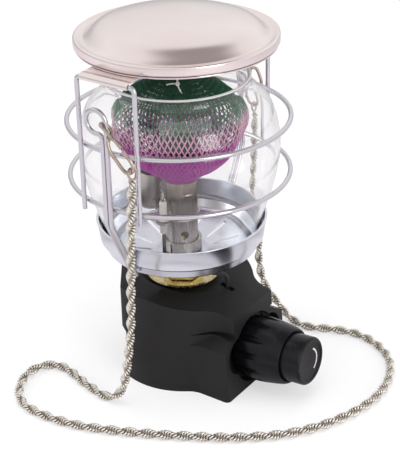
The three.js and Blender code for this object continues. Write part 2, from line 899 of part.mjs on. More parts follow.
function electrodeBracket() {
  const low = panFloor + bracketRise;
  const high = low + bracketThick;
  const collar = disc(burnerRadius + seatGap + bracketThick, low, high + 2 * bracketThick);
  const [sx, sy] = shieldPlace;
  const reach = Math.hypot(sx, sy);
  const arm = box(0, reach, -bracketWidth / 2, bracketWidth / 2, low, high);
  const seat = disc(shieldRadius, low, high).translate(sx, sy, 0);
  const lug = disc(insulatorRadius + 2 * bracketThick, low, high, smallFacets).translate(
    ...insulatorPlace,
    0,
  );
  const tube = disc(burnerRadius + seatGap, low - overrun, high + overrun);
  const hole = disc(insulatorRadius + seatGap, low - overrun, high + overrun, tinyFacets).translate(
    ...insulatorPlace,
    0,
  );
  const plate = join(collar, arm.rotateZ(Math.atan2(sy, sx)), seat, lug);
  return geometryOf(cut(plate, tube, hole));
}

function sparkShield() {
  const low = panFloor + bracketRise + bracketThick + seatGap;
  const body = ringBody(shieldRadius - shieldWall, shieldRadius, low, low + shieldHeight);
  return body.translate(...shieldPlace, 0);
}

function electrodeInsulator() {
  const middle = panFloor + bracketRise + bracketThick / 2;
  const low = middle - insulatorLength / 3;
  const high = low + insulatorLength;
  const flange = insulatorRadius + bracketThick;
  const seat = panFloor + bracketRise + bracketThick + seatGap;
  const bore = electrodeRadius + seatGap;
  const profile = [
    [bore, low],
    [insulatorRadius, low],
    [insulatorRadius, seat],
    [flange, seat],
    [flange, seat + bracketThick],
    [insulatorRadius, seat + 2 * bracketThick],
    [insulatorRadius, high - bore],
    [insulatorRadius - electrodeRadius / 2, high],
    [bore, high],
  ];
  return turned(profile, tinyFacets).translate(...insulatorPlace, 0);
}

// The spark rod leaves its insulator and leans towards the burner.
function electrodeTip() {
  const [x, y] = insulatorPlace;
  const low = panFloor + bracketRise - insulatorLength / 3 + electrodeFoot;
  const high = panFloor + bracketRise + (insulatorLength * 2) / 3 + electrodeRise;
  const lean = 1 - electrodeRise / 2 / Math.hypot(x, y) / 2;
  const corners = [
    [x, y, low],
    [x, y, high - electrodeRise / 2, electrodeRadius],
    [x * lean, y * lean, high + electrodeRise / 2],
  ];
  return bentWire(corners, 2 * electrodeRadius, 8, 3);
}

function ignitionLead() {
  const [x, y] = insulatorPlace;
  const tilt = new THREE.Vector3(Math.cos(knobTilt), 0, Math.sin(knobTilt));
  const tail = contactPinTip - contactPinLength - seatGap - leadRadius;
  const startX = knobFaceReach + tilt.x * tail - tilt.z * contactRingRadius;
  const startZ = knobAxisHeight + tilt.z * tail + tilt.x * contactRingRadius;
  const top = panFloor + bracketRise - insulatorLength / 3;
  const slotX = leadSlotReach;
  const under = panFloor - panLift / 3;
  const corners = [
    [startX, leadSlotSide - 2 * leadSlotWidth, startZ],
    [startX, leadSlotSide, startZ + leadSlotWidth, 2 * leadRadius],
    [slotX, leadSlotSide, ledgeHeight, 3 * leadRadius],
    [slotX, leadSlotSide, baseHeight + leadSlotWidth, 4 * leadRadius],
    [collarRadius, y, under, 4 * leadRadius],
    [x, y, under, 3 * leadRadius],
    [x, y, top],
  ];
  return bentWire(corners, 2 * leadRadius, 8, 4);
}

// Glass globe
const glassFoot = panFloor + panStepRise + panSheet + seatGap;

function glassGlobe() {
  const between = (low, high, share) => low + (high - low) * share;
  const profile = [
    ...glassFootShares.map(([out, up]) => [
      between(glassFootRadius, glassWaistRadius, out),
      glassWaistRise * up,
    ]),
    ...glassNeckShares.map(([out, up]) => [
      between(glassNeckRadius, glassWaistRadius, out),
      glassNeckRise * up,
    ]),
    [glassMouthRadius, glassHeight],
  ];
  const points = profile.map(([r, z]) => new THREE.Vector3(r, 0, z));
  const curve = new THREE.CatmullRomCurve3(points, false, "centripetal");
  const outer = [];
  const inner = [];
  const steps = 11;
  for (let i = 0; i <= steps; i++) {
    const at = curve.getPoint(i / steps);
    const along = curve.getTangent(i / steps);
    outer.push([at.x, at.z]);
    inner.push([at.x - glassWall * along.z, at.z + glassWall * along.x]);
  }
  inner[0][1] = 0;
  inner[steps][1] = glassHeight;
  return turned(outer.concat(inner.reverse()), wideFacets).translate(0, 0, glassFoot);
}

// Cage of round wire
function cageRing(height) {
  const ring = new THREE.TorusGeometry(ringRadius, ringWire / 2, 6, wideFacets + tinyFacets);
  return ring.translate(0, 0, height);
}

function bail(side) {
  const y = side * bailReach;
  const foot = lowerRingHeight - bailFootDrop;
  const corners = [
    [-bailHalfWidth, y, foot],
    [-bailHalfWidth, y, bailTop, bailBend],
    [bailHalfWidth, y, bailTop, bailBend],
    [bailHalfWidth, y, foot],
  ];
  return bentWire(corners, cageWire, 8, 5);
}

// A hairpin whose two strands run side by side and close in an eye for the hook. Below the knee
// they lean against the shoulder of the pan.
function eyeWire(side) {
  const half = (cageWire + seatGap) / 2;
  const knee = lowerRingHeight - kneeDrop;
  const footHeight = panFloor + strandFootRise;
  const drop = knee - panFloor - panStepRise;
  const inward = cageRadius - panBandFootRadius;
  const away = Math.asin((cageWire / 2 + seatGap) / Math.hypot(drop, inward));
  const slope = Math.atan2(drop, inward) + away;
  const footReach = cageRadius - (knee - footHeight) / Math.tan(slope);
  const right = eyeRadius - eyeOffset;
  const left = -eyeRadius - eyeOffset;
  const top = eyeHeight + eyeRadius;
  const low = eyeHeight - eyeRadius;
  const y = -cageRadius;
  const corners = [
    [half, -footReach, footHeight],
    [half, y, knee, kneeBend],
    [half, y, low - eyeBend, eyeBend],
    [right, y, eyeHeight - eyeBend / 2, eyeBend],
    [right, y, top, eyeRadius],
    [left, y, top, eyeRadius],
    [left, y, low, eyeRadius],
    [-half, y, low, eyeBend],
    [-half, y, knee, kneeBend],
    [-half, -footReach, footHeight],
  ];
  const wire = bentWire(corners, cageWire, 8, 4);
  return side > 0 ? wire.rotateZ(Math.PI) : wire;
}

// Lid
const hemInner = cageWire / 2 + runGap;
const hemOuter = hemInner + hemWall;
const lidPlateTop = bailTop + hemOuter + runGap;
const capFoot = lidPlateTop + seatGap;

function lidCap() {
  const t = lidSheet;
  const rim = capFoot + skirtHeight;
  const crown = rim + domeRise;
  const groove = rim - domeSink;
  const riseAt = (share) => groove + (crown - groove) * share;
  const outer = [
    [lidRadius - lidFlangeWidth, capFoot],
    [lidRadius - t, capFoot],
    [lidRadius, capFoot + t],
    [lidRadius, rim - lidBead],
    [lidRadius - lidBead * beadShare, rim - lidBead * beadShare],
    [lidRadius - lidBead, rim],
    [lidRadius - lidBead * (2 - beadShare), rim - lidBead * beadShare],
    [domeRadius + lidBead, groove],
    [domeRadius, groove],
  ];
  domeShares.forEach(([out, up]) => outer.push([domeRadius * out, riseAt(up)]));
  outer.push([0, crown]);
  const inner = [[0, crown - t]];
  const inward = [...domeShares].reverse();
  inward.forEach(([out, up]) => inner.push([(domeRadius - t) * out, riseAt(up) - t]));
  inner.push([domeRadius - t, groove - t]);
  inner.push([lidRadius - lidBead - t, groove - t]);
  inner.push([lidRadius - t, rim - lidBead - t]);
  inner.push([lidRadius - t, capFoot + t]);
  inner.push([lidRadius - lidFlangeWidth, capFoot + t]);
  return turned(rotateToAxis(outer.concat(inner)), wideFacets);
}

// The heat plate under the cap, with an ear hemmed round each bail.
function lidPlate() {
  const low = lidPlateTop - lidSheet;
  const plate = disc(lidRadius - lidSheet, low, lidPlateTop, wideFacets);
  const inside = lidRadius - 3 * lidFlangeWidth;
  const hem = (from, to, radius, steps) => {
    const points = [];
    for (let i = 0; i <= steps; i++) {
      const angle = from + ((to - from) * i) / steps;
      points.push([bailReach + radius * Math.cos(angle), bailTop + radius * Math.sin(angle)]);
    }
    return points;
  };
  const lip = bailTop - cageWire / 4;
  const ear = (steps) => [
    [inside, low],
    [bailReach - hemOuter, low],
    [bailReach - hemInner - hemWall / 2, lip + cageWire / 2],
    ...hem(THREE.MathUtils.degToRad(hemStartDeg), 0, hemInner, steps),
    [bailReach + hemInner, lip],
    [bailReach + hemOuter, lip],
    ...hem(0, Math.PI / 2, hemOuter, steps / 2),
    [bailReach - hemOuter, lidPlateTop],
    [inside, lidPlateTop],
  ];
  const rear = acrossX(ear(8), -earHalfWidth, earHalfWidth);
  const front = rear.clone().rotateZ(Math.PI);
  return geometryOf(join(plate, rear, front));
}

// Mantle: a thin knitted shell gathered to the rod above and to the burner tube below
const mantleNeck = burnerRadius + seatGap + mantleWall;
const mantleTip = rodRadius + seatGap + mantleWall;

function mantle() {
  const foot = panFloor + mantleFootRise;
  const neck = mantleNeck;
  const tip = mantleTip;
  const widest = mantleRadius;
  const outer = mantleShares.map(([out, up]) => [
    neck + (widest - neck) * out,
    foot + mantleHeight * up,
  ]);
  outer.push([tip, foot + mantleHeight * mantleTipShare]);
  outer.push([tip, foot + mantleHeight]);
  const inner = outer.map(([r, z], i) => {
    const before = outer[Math.max(i - 1, 0)];
    const after = outer[Math.min(i + 1, outer.length - 1)];
    const length = Math.hypot(after[0] - before[0], after[1] - before[1]);
    const out = i === 0 || i === outer.length - 1 ? 1 : (after[1] - before[1]) / length;
    const up = i === 0 || i === outer.length - 1 ? 0 : (before[0] - after[0]) / length;
    return [r - mantleWall * out, z - mantleWall * up];
  });
  const shell = turned(outer.concat(inner.reverse()), 4 * mantleFoldCount);
  const place = shell.attributes.position;
  for (let i = 0; i < place.count; i++) {
    const x = place.getX(i);
    const y = place.getY(i);
    const share = Math.min(1, (Math.hypot(x, y) - neck) / (widest - neck));
    const fold = Math.cos(mantleFoldCount * Math.atan2(y, x));
    const scale = 1 + mantleFoldShare * fold * Math.max(0, share);
    place.setXY(i, x * scale, y * scale);
  }
  return shell;
}

function mantleTie(height, radius) {
  const ring = new THREE.TorusGeometry(radius + tieRadius + seatGap, tieRadius, 5, smallFacets);
  return ring.translate(0, 0, height);
}

// Hook: one bent wire with a gap at its nose, passed through the eye of the cage
function hook(seat) {
  const w = hookHalfWidth;
  const out = cageWire / 2 + hookWire / 2 + 2 * seatGap;
  const between = THREE.MathUtils.degToRad(seat.leanDeg - seat.wireDeg + 90);
  const reach = ((cageWire + hookWire) / 2 + seatGap) / Math.abs(Math.sin(between));
  const shape = [
    ...hookNoseShares.map(([across, along]) => [w * across, hookLength * along, -out]),
    ...hookTurnShares.map(([across, along, y]) => [w * across, reach * along, out * y]),
    ...hookBackShares.map(([across, along, y]) => [w * across, hookLength * along, out * y]),
  ];
  const points = shape.map(([across, down, y]) => hookPoint(seat, across, down, y));
  return swept(new THREE.CatmullRomCurve3(points), hookWire, 6, hookSteps);
}

// Where each hook hangs on its eye, how the wire runs there, and how the hook leans.
const frontSeat = {
  x: eyeRadius - eyeOffset,
  z: eyeHeight - frontSeatDrop,
  wireDeg: 90,
  leanDeg: frontHookLeanDeg,
};
const rearSeat = {
  x: -eyeOffset,
  z: eyeHeight - eyeRadius,
  wireDeg: 0,
  leanDeg: rearHookLeanDeg,
};

// A point of a hook, from its own side, down and out values to the front of the cage.
function hookPoint(seat, side, down, out) {
  const lean = THREE.MathUtils.degToRad(seat.leanDeg);
  const x = side * Math.cos(lean) + down * Math.sin(lean);
  const z = side * Math.sin(lean) - down * Math.cos(lean);
  return new THREE.Vector3(seat.x + x, out - cageRadius, seat.z + z);
}

function endRing(seat) {
  const out = cageWire / 2 + hookWire / 2 + 2 * seatGap;
  const at = hookPoint(seat, 0, hookLength, -out);
  const lean = THREE.MathUtils.degToRad(seat.leanDeg * endRingLeanShare);
  const drop = endRingRadius - endRingWire / 2 - hookWire / 2 - seatGap;
  const ring = new THREE.TorusGeometry(endRingRadius, endRingWire / 2, 5, tinyFacets);
  ring.rotateY(Math.PI / 2 - lean);
  return ring.translate(at.x + drop * Math.sin(lean), at.y, at.z - drop * Math.cos(lean));
}

// Chain, laid as it lies: down from the front hook, round on the table, up to the rear hook.
const chainRoute = [
  [17.7, -62.6, 135.8],
  [15.2, -62.3, 107],
  [12.8, -61.4, 76],
  [10.7, -60.7, 50],
  [8, -60.2, 34],
  [4.9, -59.6, 19.5],
  [2.1, -59.5, 10.8],
  [-0.7, -59.9, 6.5],
  [-5, -60.6, 3.5],
  [-10.8, -60.7, 2.5],
  [-17, -59.5, 2.5],
  [-25.4, -57.4, 2.5],
  [-44.9, -51.8, 2.5],
  [-52.2, -53.4, 2.5],
  [-57.1, -59.2, 2.5],
  [-57.6, -69, 2.5],
  [-53.2, -78.7, 2.5],
  [-46.8, -86.2, 2.5],
  [-37.5, -90.8, 2.5],
  [-24, -91.6, 2.5],
  [-6.1, -89.2, 2.5],
  [16.6, -80.9, 2.5],
  [44.4, -67.3, 2.5],
  [69.3, -52.5, 2.5],
  [89.4, -34.9, 2.5],
  [102.4, -14.5, 2.5],
  [110.2, 12.3, 2.5],
  [108.5, 34.1, 2.5],
  [99, 53, 2.5],
  [85.4, 62.8, 2.5],
  [71.7, 65.8, 2.5],
  [58, 62.8, 2.5],
  [46, 57.8, 2.5],
  [36.9, 58.2, 2.5],
  [29.5, 60.6, 3.4],
  [21.5, 62.2, 8.6],
  [13, 62.8, 16.8],
  [9, 62.8, 28],
  [8, 62.8, 60],
  [8, 62.6, 125.4],
];

function chain() {
  const points = chainRoute.map(([x, y, z]) => new THREE.Vector3(x, y, z));
  return swept(new THREE.CatmullRomCurve3(points), chainDiameter, 8, chainSteps);
}

// Materials, by finish
function finish(color, roughness, metalness, extra = {}) {
  return new THREE.MeshStandardMaterial({ color, roughness, metalness, ...extra });
}

const brass = ["#b08d4a", 0.35, 1];
const steel = ["#b9b6b4", 0.3, 1];
const chrome = ["#c9ccd2", 0.15, 1];
const lidSteel = ["#cfc6c4", 0.18, 1];
const wireSteel = ["#b7a999", 0.25, 1];
const rubber = ["#1c1c1c", 0.8, 0];
const cotton = ["#f0eee8", 0.9, 0];

const lantern = new THREE.Group();

function piece(name, geometry, material) {
  const mesh = new THREE.Mesh(geometry, material);
  mesh.name = name;
  lantern.add(mesh);
  return mesh;
}

piece("base_housing", baseHousing(), finish("#2a292a", 0.55, 0));
piece("valve_body", valveBody(), finish(...brass));
piece("cartridge_collar", cartridgeCollar(), finish(...brass));
piece("cartridge_seal", cartridgeSeal(), finish(...rubber));
piece("valve_pin", valvePin(), finish(...brass));
piece("gland_nut", glandNut(), finish(...brass));
piece("valve_spindle", valveSpindle(), finish(...steel));
piece("spindle_oring", spindleOring(), finish(...rubber));
piece("contact_pin", contactPin(), finish(...brass));
piece("contact_ring", contactRing(), finish(...brass));
piece("control_knob", controlKnob(), finish("#19181b", 0.3, 0));
piece("push_button", pushButton(), finish("#1d1c1f", 0.35, 0));
piece("piezo_igniter", piezoIgniter(), finish("#d8d4c8", 0.5, 0));
piece("piezo_plunger", piezoPlunger(), finish("#8a2f2a", 0.5, 0));
piece("dished_washer", dishedWasher(), finish("#c9a14e", 0.25, 1));
piece("neck_nut", neckNut(), finish(...brass));
piece("jet_holder", jetHolder(), finish(...brass));
piece("gas_jet", gasJet(), finish("#c9a14e", 0.25, 1));
piece("pan_washer", panWasher(), finish(...steel));
piece("base_pan", basePan(), finish(...chrome));
piece("burner_sleeve", burnerSleeve(), finish(...steel));
piece("burner_tube", burnerTube(), finish(...steel));
piece("burner_gauze", burnerGauze(), finish("#7b7874", 0.5, 1));
piece("mantle_rod", mantleRod(), finish("#7b7874", 0.5, 1));
piece("electrode_bracket", electrodeBracket(), finish(...steel));
piece("spark_shield", sparkShield(), finish(...steel));
piece("electrode_insulator", electrodeInsulator(), finish("#efece6", 0.4, 0));
piece("electrode_tip", electrodeTip(), finish(...steel));
piece("ignition_lead", ignitionLead(), finish("#141414", 0.5, 0));
piece("glass_globe", glassGlobe(), finish("#f2f6f6", 0.03, 0, { transparent: true, opacity: 0.3 }));
piece("mantle", mantle(), finish("#2f6b52", 0.9, 0));
const lowerTieHeight = panFloor + mantleFootRise + 2 * tieRadius;
const upperTieHeight = panFloor + mantleFootRise + mantleHeight - tieRadius;
piece("lower_mantle_tie", mantleTie(lowerTieHeight, mantleNeck), finish(...cotton));
piece("upper_mantle_tie", mantleTie(upperTieHeight, mantleTip), finish(...cotton));
piece("lower_ring", cageRing(lowerRingHeight), finish(...chrome));
piece("upper_ring", cageRing(upperRingHeight), finish(...chrome));
piece("front_bail", bail(-1), finish(...chrome));
piece("rear_bail", bail(1), finish(...chrome));
piece("front_eye_wire", eyeWire(-1), finish(...chrome));
piece("rear_eye_wire", eyeWire(1), finish(...chrome));
piece("lid_cap", lidCap(), finish(...lidSteel));
piece("lid_plate", lidPlate(), finish(...lidSteel));
piece("front_hook", hook(frontSeat), finish(...wireSteel));
piece("rear_hook", hook(rearSeat).rotateZ(Math.PI), finish(...wireSteel));
piece("front_end_ring", endRing(frontSeat), finish(...wireSteel));
piece("rear_end_ring", endRing(rearSeat).rotateZ(Math.PI), finish(...wireSteel));
piece("chain", chain(), finish("#a89c8c", 0.3, 1));

// The frame's origin is under the middle of the lantern, knob included and chain left out.
const buttonEdge = (buttonRadius - buttonRim) * Math.sin(knobTilt);
const knobFront = knobFaceReach + buttonReach * Math.cos(knobTilt) + buttonEdge;
lantern.position.x = (ringRadius + ringWire / 2 - knobFront) / 2;

export default lantern;
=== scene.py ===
"""Gas lantern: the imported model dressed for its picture. Sizes are in millimetres from the
lantern's own axis until a piece is finished, and in metres in the row frame after that."""

import random
from math import acos, asin, atan2, cos, degrees, hypot, pi, radians, sin, sqrt, tan

import bmesh
import bpy
from mathutils import Matrix, Vector


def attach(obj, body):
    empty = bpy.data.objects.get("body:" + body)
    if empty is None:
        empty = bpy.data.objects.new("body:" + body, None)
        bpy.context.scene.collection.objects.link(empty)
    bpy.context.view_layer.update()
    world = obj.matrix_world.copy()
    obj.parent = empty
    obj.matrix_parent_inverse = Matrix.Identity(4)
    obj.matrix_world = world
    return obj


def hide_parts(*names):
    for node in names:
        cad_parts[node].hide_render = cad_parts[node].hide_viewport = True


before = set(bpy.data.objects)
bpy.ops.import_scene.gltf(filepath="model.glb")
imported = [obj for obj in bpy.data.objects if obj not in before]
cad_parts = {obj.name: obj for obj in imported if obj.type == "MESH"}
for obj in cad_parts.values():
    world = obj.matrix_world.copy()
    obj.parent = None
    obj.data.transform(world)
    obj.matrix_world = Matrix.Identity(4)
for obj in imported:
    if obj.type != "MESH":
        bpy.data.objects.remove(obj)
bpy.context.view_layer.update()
scene = bpy.context.scene

MM = 0.001
AXIS_X = -11.509  # the lantern's axis in the row frame
TURN = 2 * pi

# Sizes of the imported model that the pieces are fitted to
BASE_TOP = 54
KNOB_HEIGHT = 20.6
KNOB_TILT = radians(4)
FACE_X = 46.1
DISH_FLOOR = 50.8
PAN_FLOOR = 67.2
BURNER_RADIUS = 8.5
LOWER_RING = 113.8
UPPER_RING = 143.9
RING_RADIUS = 57
RING_WIRE = 2.6
CAGE_WIRE = 2.4
CAGE_RADIUS = 59.8
BAIL_REACH = 57.27
BAIL_HALF = 17.2
BAIL_TOP = 180
EYE_HEIGHT = 159.8
EYE_RADIUS = 6
EYE_OFFSET = 4.8
LID_PLATE_TOP = 182.7
CHAIN_DIAMETER = 5
NECK_BORE = 8.3  # of what stands round the valve's neck
JET_BORE = 6.3  # of what stands round the jet holder
ELECTRODE = (-2.2, -13.2)  # axis of the insulator
SHIELD = (-20.4, 1.4)  # axis of the spark shield


def in_scene(name, data):
    """Shows data in the scene as an object."""
    made = bpy.data.objects.new(name, data)
    scene.collection.objects.link(made)
    return made


# Camera, at the photograph's place

LENS_PIXELS = 1300  # focal length in pixels of a 453 pixel high picture
PICTURE_HIGH = 453
SENSOR = 36
CAMERA_X, CAMERA_Y, CAMERA_Z = 364.3, -494.1, 397.2
CAMERA_WAY = (-0.5158, 0.7227, -0.45997)
CAMERA_ROLL = radians(-1.2834)

camera_data = bpy.data.cameras.new("camera")
camera_data.sensor_width = SENSOR
camera_data.lens = LENS_PIXELS / PICTURE_HIGH * SENSOR
camera_data.clip_start = 0.01
camera_data.clip_end = 20
camera = in_scene("camera", camera_data)
forward = Vector(CAMERA_WAY).normalized()
level = forward.cross(Vector((0, 0, 1))).normalized()
right = level * cos(CAMERA_ROLL) + level.cross(forward) * sin(CAMERA_ROLL)
up = right.cross(forward)
place = Matrix.Translation(((CAMERA_X + AXIS_X) * MM, CAMERA_Y * MM, CAMERA_Z * MM))
camera.matrix_world = place @ Matrix((right, up, -forward)).transposed().to_4x4()
scene.camera = camera


# Materials


def colour(text):
    """An sRGB hex value as linear red, green, blue and alpha."""
    parts = [int(text[i : i + 2], 16) / 255 for i in (1, 3, 5)]
    return [*(c / 12.92 if c <= 0.04045 else ((c + 0.055) / 1.055) ** 2.4 for c in parts), 1]


def feed(node, key, value):
    """Sets an input of a node, or links it to what another node gives."""
    if isinstance(value, bpy.types.NodeSocket):
        node.id_data.links.new(value, node.inputs[key])
    else:
        node.inputs[key].default_value = value


def add(tree, kind, inputs, **settings):
    """Adds a node to a tree, with its settings, values and links."""
    made = tree.nodes.new(kind)
    for key, value in settings.items():
        setattr(made, key, value)
    for key, value in inputs.items():
        feed(made, key, value)
    return made


def new_finish(name, base, roughness, metallic=0.0):
    """A material with its shader and the piece's own coordinates in metres."""
    made = bpy.data.materials.new(name)
    made.use_nodes = True
    shader = made.node_tree.nodes["Principled BSDF"]
    feed(shader, "Base Color", colour(base))
    feed(shader, "Roughness", roughness)
    feed(shader, "Metallic", metallic)
    place = add(made.node_tree, "ShaderNodeTexCoord", {}).outputs["Object"]
    return made, shader, place


def grain(place, size, detail=3.0, stretch=(1, 1, 1)):
    """Noise of a real grain size in millimetres, drawn out along an axis by a stretch below 1."""
    scaled = add(place.id_data, "ShaderNodeMapping", {"Vector": place, "Scale": stretch})
    inputs = {"Vector": scaled.outputs[0], "Scale": 1 / (size * MM), "Detail": detail}
    return add(place.id_data, "ShaderNodeTexNoise", inputs).outputs["Fac"]


def height_of(place):
    """How high a place is, in metres."""
    return add(place.id_data, "ShaderNodeSeparateXYZ", {"Vector": place}).outputs["Z"]


def carried(place, name):
    """A number that the mesh itself carries from point to point."""
    return add(place.id_data, "ShaderNodeAttribute", {}, attribute_name=name).outputs["Fac"]


def maths(operation, one, other):
    """What a sum makes of a node's value and another."""
    inputs = {0: one, 1: other}
    return add(one.id_data, "ShaderNodeMath", inputs, operation=operation).outputs[0]


def mapped(value, low, high, start=0.0, end=1.0):
    """Maps one span of a value to another."""
    inputs = {"Value": value, "From Min": low, "From Max": high, "To Min": start, "To Max": end}
    return add(value.id_data, "ShaderNodeMapRange", inputs).outputs["Result"]


def spread(noise, low, high):
    """Maps the middle of a noise to a span of roughness."""
    return mapped(noise, 0.3, 0.7, low, high)


def ramp(value, *stops):
    """Turns a value into colours or greys, from (place, hex colour) stops."""
    made = add(value.id_data, "ShaderNodeValToRGB", {"Fac": value})
    line = made.color_ramp
    while len(line.elements) < len(stops):
        line.elements.new(0.5)
    for element, (at, text) in zip(line.elements, stops):
        element.position = at
        element.color = colour(text)
    return made.outputs["Color"]


def shaded(share, tint, shade):
    """A colour multiplied in part by another."""
    inputs = {0: share, 6: tint, 7: shade}
    made = add(tint.id_data, "ShaderNodeMix", inputs, data_type="RGBA", blend_type="MULTIPLY")
    return made.outputs[2]


def roughen(shader, value, height, strength=0.5):
    """Bumps a surface by a height in millimetres."""
    inputs = {"Height": value, "Distance": height * MM, "Strength": strength}
    feed(shader, "Normal", add(shader.id_data, "ShaderNodeBump", inputs).outputs["Normal"])


def moulded_nylon():
    """Glass-filled nylon, moulded in a spark-eroded tool: a dark matte skin with a fine grain, a
    little greyer where hands have polished it."""
    made, shader, place = new_finish("moulded_nylon", "#191818", 0.55)
    feed(shader, "Specular IOR Level", 0.32)
    cloud = grain(place, 18, 4)
    feed(shader, "Base Color", ramp(cloud, (0.3, "#171616"), (0.7, "#1c1b1b")))
    feed(shader, "Roughness", spread(cloud, 0.46, 0.6))
    # The tool's grain is 0.3 mm, drawn at 0.7 mm so that it shows
    roughen(shader, grain(place, 0.7, 2), 0.05)
    return made


def glossy_phenolic(name, base, worn, low, high):
    """Compression-moulded phenolic: deep black with a hard gloss, and faint rubbed clouds."""
    made, shader, place = new_finish(name, base, low)
    feed(shader, "Specular IOR Level", 0.24)
    cloud = grain(place, 14, 2)
    feed(shader, "Base Color", ramp(cloud, (0.35, base), (0.75, worn)))
    feed(shader, "Roughness", spread(cloud, low, high))
    roughen(shader, grain(place, 1.5, 1), 0.004, 0.3)
    return made


def printed_enamel():
    """Pad-printed white ink: flat, a little uneven in its cover."""
    made, shader, place = new_finish("printed_enamel", "#cfd0d4", 0.5)
    feed(shader, "Base Color", ramp(grain(place, 0.6), (0.3, "#b9bac0"), (0.6, "#dcdde0")))
    return made


def bright_metal(name, base, low, high, size, tint=None, ridge=0.0):
    """Metal with a polish of two roughnesses in soft clouds, as handling leaves on it."""
    made, shader, place = new_finish(name, base, low, 1.0)
    cloud = grain(place, size)
    feed(shader, "Roughness", spread(cloud, low, high))
    if tint:
        feed(shader, "Base Color", ramp(cloud, (0.35, base), (0.7, tint)))
    if ridge:
        roughen(shader, grain(place, size / 8, 2), ridge, 0.4)
    return made


def heat_tinted_steel():
    """Drawn stainless tube that has been hot: brushed lengthwise, and straw to brown above."""
    made, shader, place = new_finish("heat_tinted_steel", "#a09a95", 0.3, 1.0)
    # The heat has reached down unevenly, by up to 20 mm
    heat = maths("ADD", height_of(place), maths("MULTIPLY", grain(place, 9), 20 * MM))
    heat = mapped(heat, 84 * MM, 124 * MM)
    feed(shader, "Base Color", ramp(heat, (0, "#b9b4ae"), (0.45, "#aaa29a"), (0.8, "#94877d")))
    brushed = grain(place, 0.5, 2, (1, 1, 0.03))
    feed(shader, "Roughness", spread(brushed, 0.26, 0.33))
    roughen(shader, brushed, 0.001, 0.12)
    return made


def turned_brass():
    """Brass from the lathe, bright with fine turning rings and a few browner clouds."""
    made, shader, place = new_finish("turned_brass", "#dccb94", 0.2, 1.0)
    feed(shader, "Base Color", ramp(grain(place, 12, 2), (0.3, "#d8c68c"), (0.7, "#ebdfb4")))
    rings = grain(place, 0.5, 2, (0.15, 0.15, 1))
    feed(shader, "Roughness", spread(rings, 0.14, 0.3))
    roughen(shader, rings, 0.01, 0.4)
    return made


def pale_finish(name, base, roughness, size, dark, light, height, strength):
    """A pale finish that one noise both tints and roughens: the orange peel of the glaze on
    alumina, or the strands of bleached cotton."""
    made, shader, place = new_finish(name, base, roughness)
    marks = grain(place, size, 2)
    feed(shader, "Base Color", ramp(marks, dark, light))
    roughen(shader, marks, height, strength)
    return made


def blown_glass():
    """Borosilicate blown in a mould: clear, with slow ripples in its wall."""
    made, shader, place = new_finish("blown_glass", "#ffffff", 0.0)
    feed(shader, "IOR", 1.47)
    # Its two ends are cut and ground, which leaves a pale ring that light doesn't pass
    height = height_of(place)
    mouth = mapped(height, 164.9 * MM, 165.4 * MM)
    foot = mapped(height, 78.8 * MM, 78.3 * MM)
    ground = maths("MAXIMUM", mouth, foot)
    feed(shader, "Transmission Weight", mapped(ground, 0.0, 1.0, 1.0, 0.3))
    feed(shader, "Roughness", mapped(ground, 0.0, 1.0, 0.0, 0.4))
    roughen(shader, grain(place, 22, 1), 0.12, 0.25)
    return made


def dipped_rayon():
    """Knitted rayon, dyed and dipped in salts: matte threads in the colours of each batch, with
    fibres that catch the light along their edges."""
    made, shader, place = new_finish("dipped_rayon", "#2c6a50", 0.85)
    feed(shader, "Sheen Weight", 0.1)
    feed(shader, "Sheen Roughness", 0.5)
    tint = ramp(
        carried(place, "dye"),
        (0.0, "#c224b0"), (0.4, "#d83cc6"), (0.5, "#f0a2cf"), (0.61, "#f4c6da"),
        (0.66, "#86a392"), (0.7, "#3c8263"), (0.8, "#1d6848"), (0.88, "#0d4a33"),
    )
    # The twist of the yarn is finer than the yarn, and drawn at 0.9 mm so that it shows
    twist = grain(place, 0.9, 2)
    light = ramp(twist, (0.3, "#a8a8a8"), (0.7, "#ffffff"))
    feed(shader, "Base Color", shaded(0.5, tint, light))
    roughen(shader, twist, 0.1, 0.6)
    return made


def nickel_chain_wire():
    """Nickel-plated wire rings: warm silver, with painted shade that turns them brown in the twist
    and paler toward the outside.
    """
    made, shader, place = new_finish("nickel_chain_wire", "#c6bcae", 0.2, 1.0)
    depth = carried(place, "depth")
    # Painted shade: the twist between the rings is darkened brown and the outside made paler, from
    # how far out each point lies
    twist_shade = ramp(depth, (0.25, "#7d7468"), (0.5, "#cdc7bc"), (0.75, "#f9f7f2"))
    cloud = grain(place, 4, 2)
    warm = ramp(cloud, (0.35, "#f8f8f0"), (0.65, "#f4ece6"))
    feed(shader, "Base Color", shaded(0.8, twist_shade, warm))
    feed(shader, "Roughness", spread(cloud, 0.26, 0.38))
    return made


def extruded_rubber(name, base, roughness):
    """Nitrile or silicone, drawn or moulded: dull, with a fine drag in its skin."""
    made, shader, place = new_finish(name, base, roughness)
    skin = grain(place, 0.8, 2)
    feed(shader, "Roughness", spread(skin, roughness - 0.1, roughness + 0.1))
    roughen(shader, skin, 0.03, 0.4)
    return made


NYLON = moulded_nylon()
KNOB_BLACK = glossy_phenolic("glossy_phenolic", "#0b0a0d", "#100f12", 0.24, 0.29)
BUTTON_BLACK = glossy_phenolic("satin_phenolic", "#0d0c0f", "#121114", 0.24, 0.3)
INK = printed_enamel()
PAN_CHROME = bright_metal("deep_drawn_chrome", "#e8ebf3", 0.2, 0.25, 20)
WIRE_CHROME = bright_metal("chromed_wire", "#d4d2d8", 0.12, 0.2, 5)
LID_STEEL = bright_metal("polished_steel", "#f0e5e3", 0.17, 0.22, 40, "#ecdfdc")
BURNER_STEEL = heat_tinted_steel()
BRACKET_STEEL = bright_metal("stamped_steel", "#b5b0ab", 0.24, 0.32, 12, "#a79f98")
SPRING_STEEL = bright_metal("ground_steel", "#b4b1ad", 0.2, 0.32, 3, "#9a948e")
GAUZE_STEEL = bright_metal("woven_steel", "#6f6a66", 0.4, 0.6, 2, "#4f4a47", ridge=0.1)
BRASS = turned_brass()
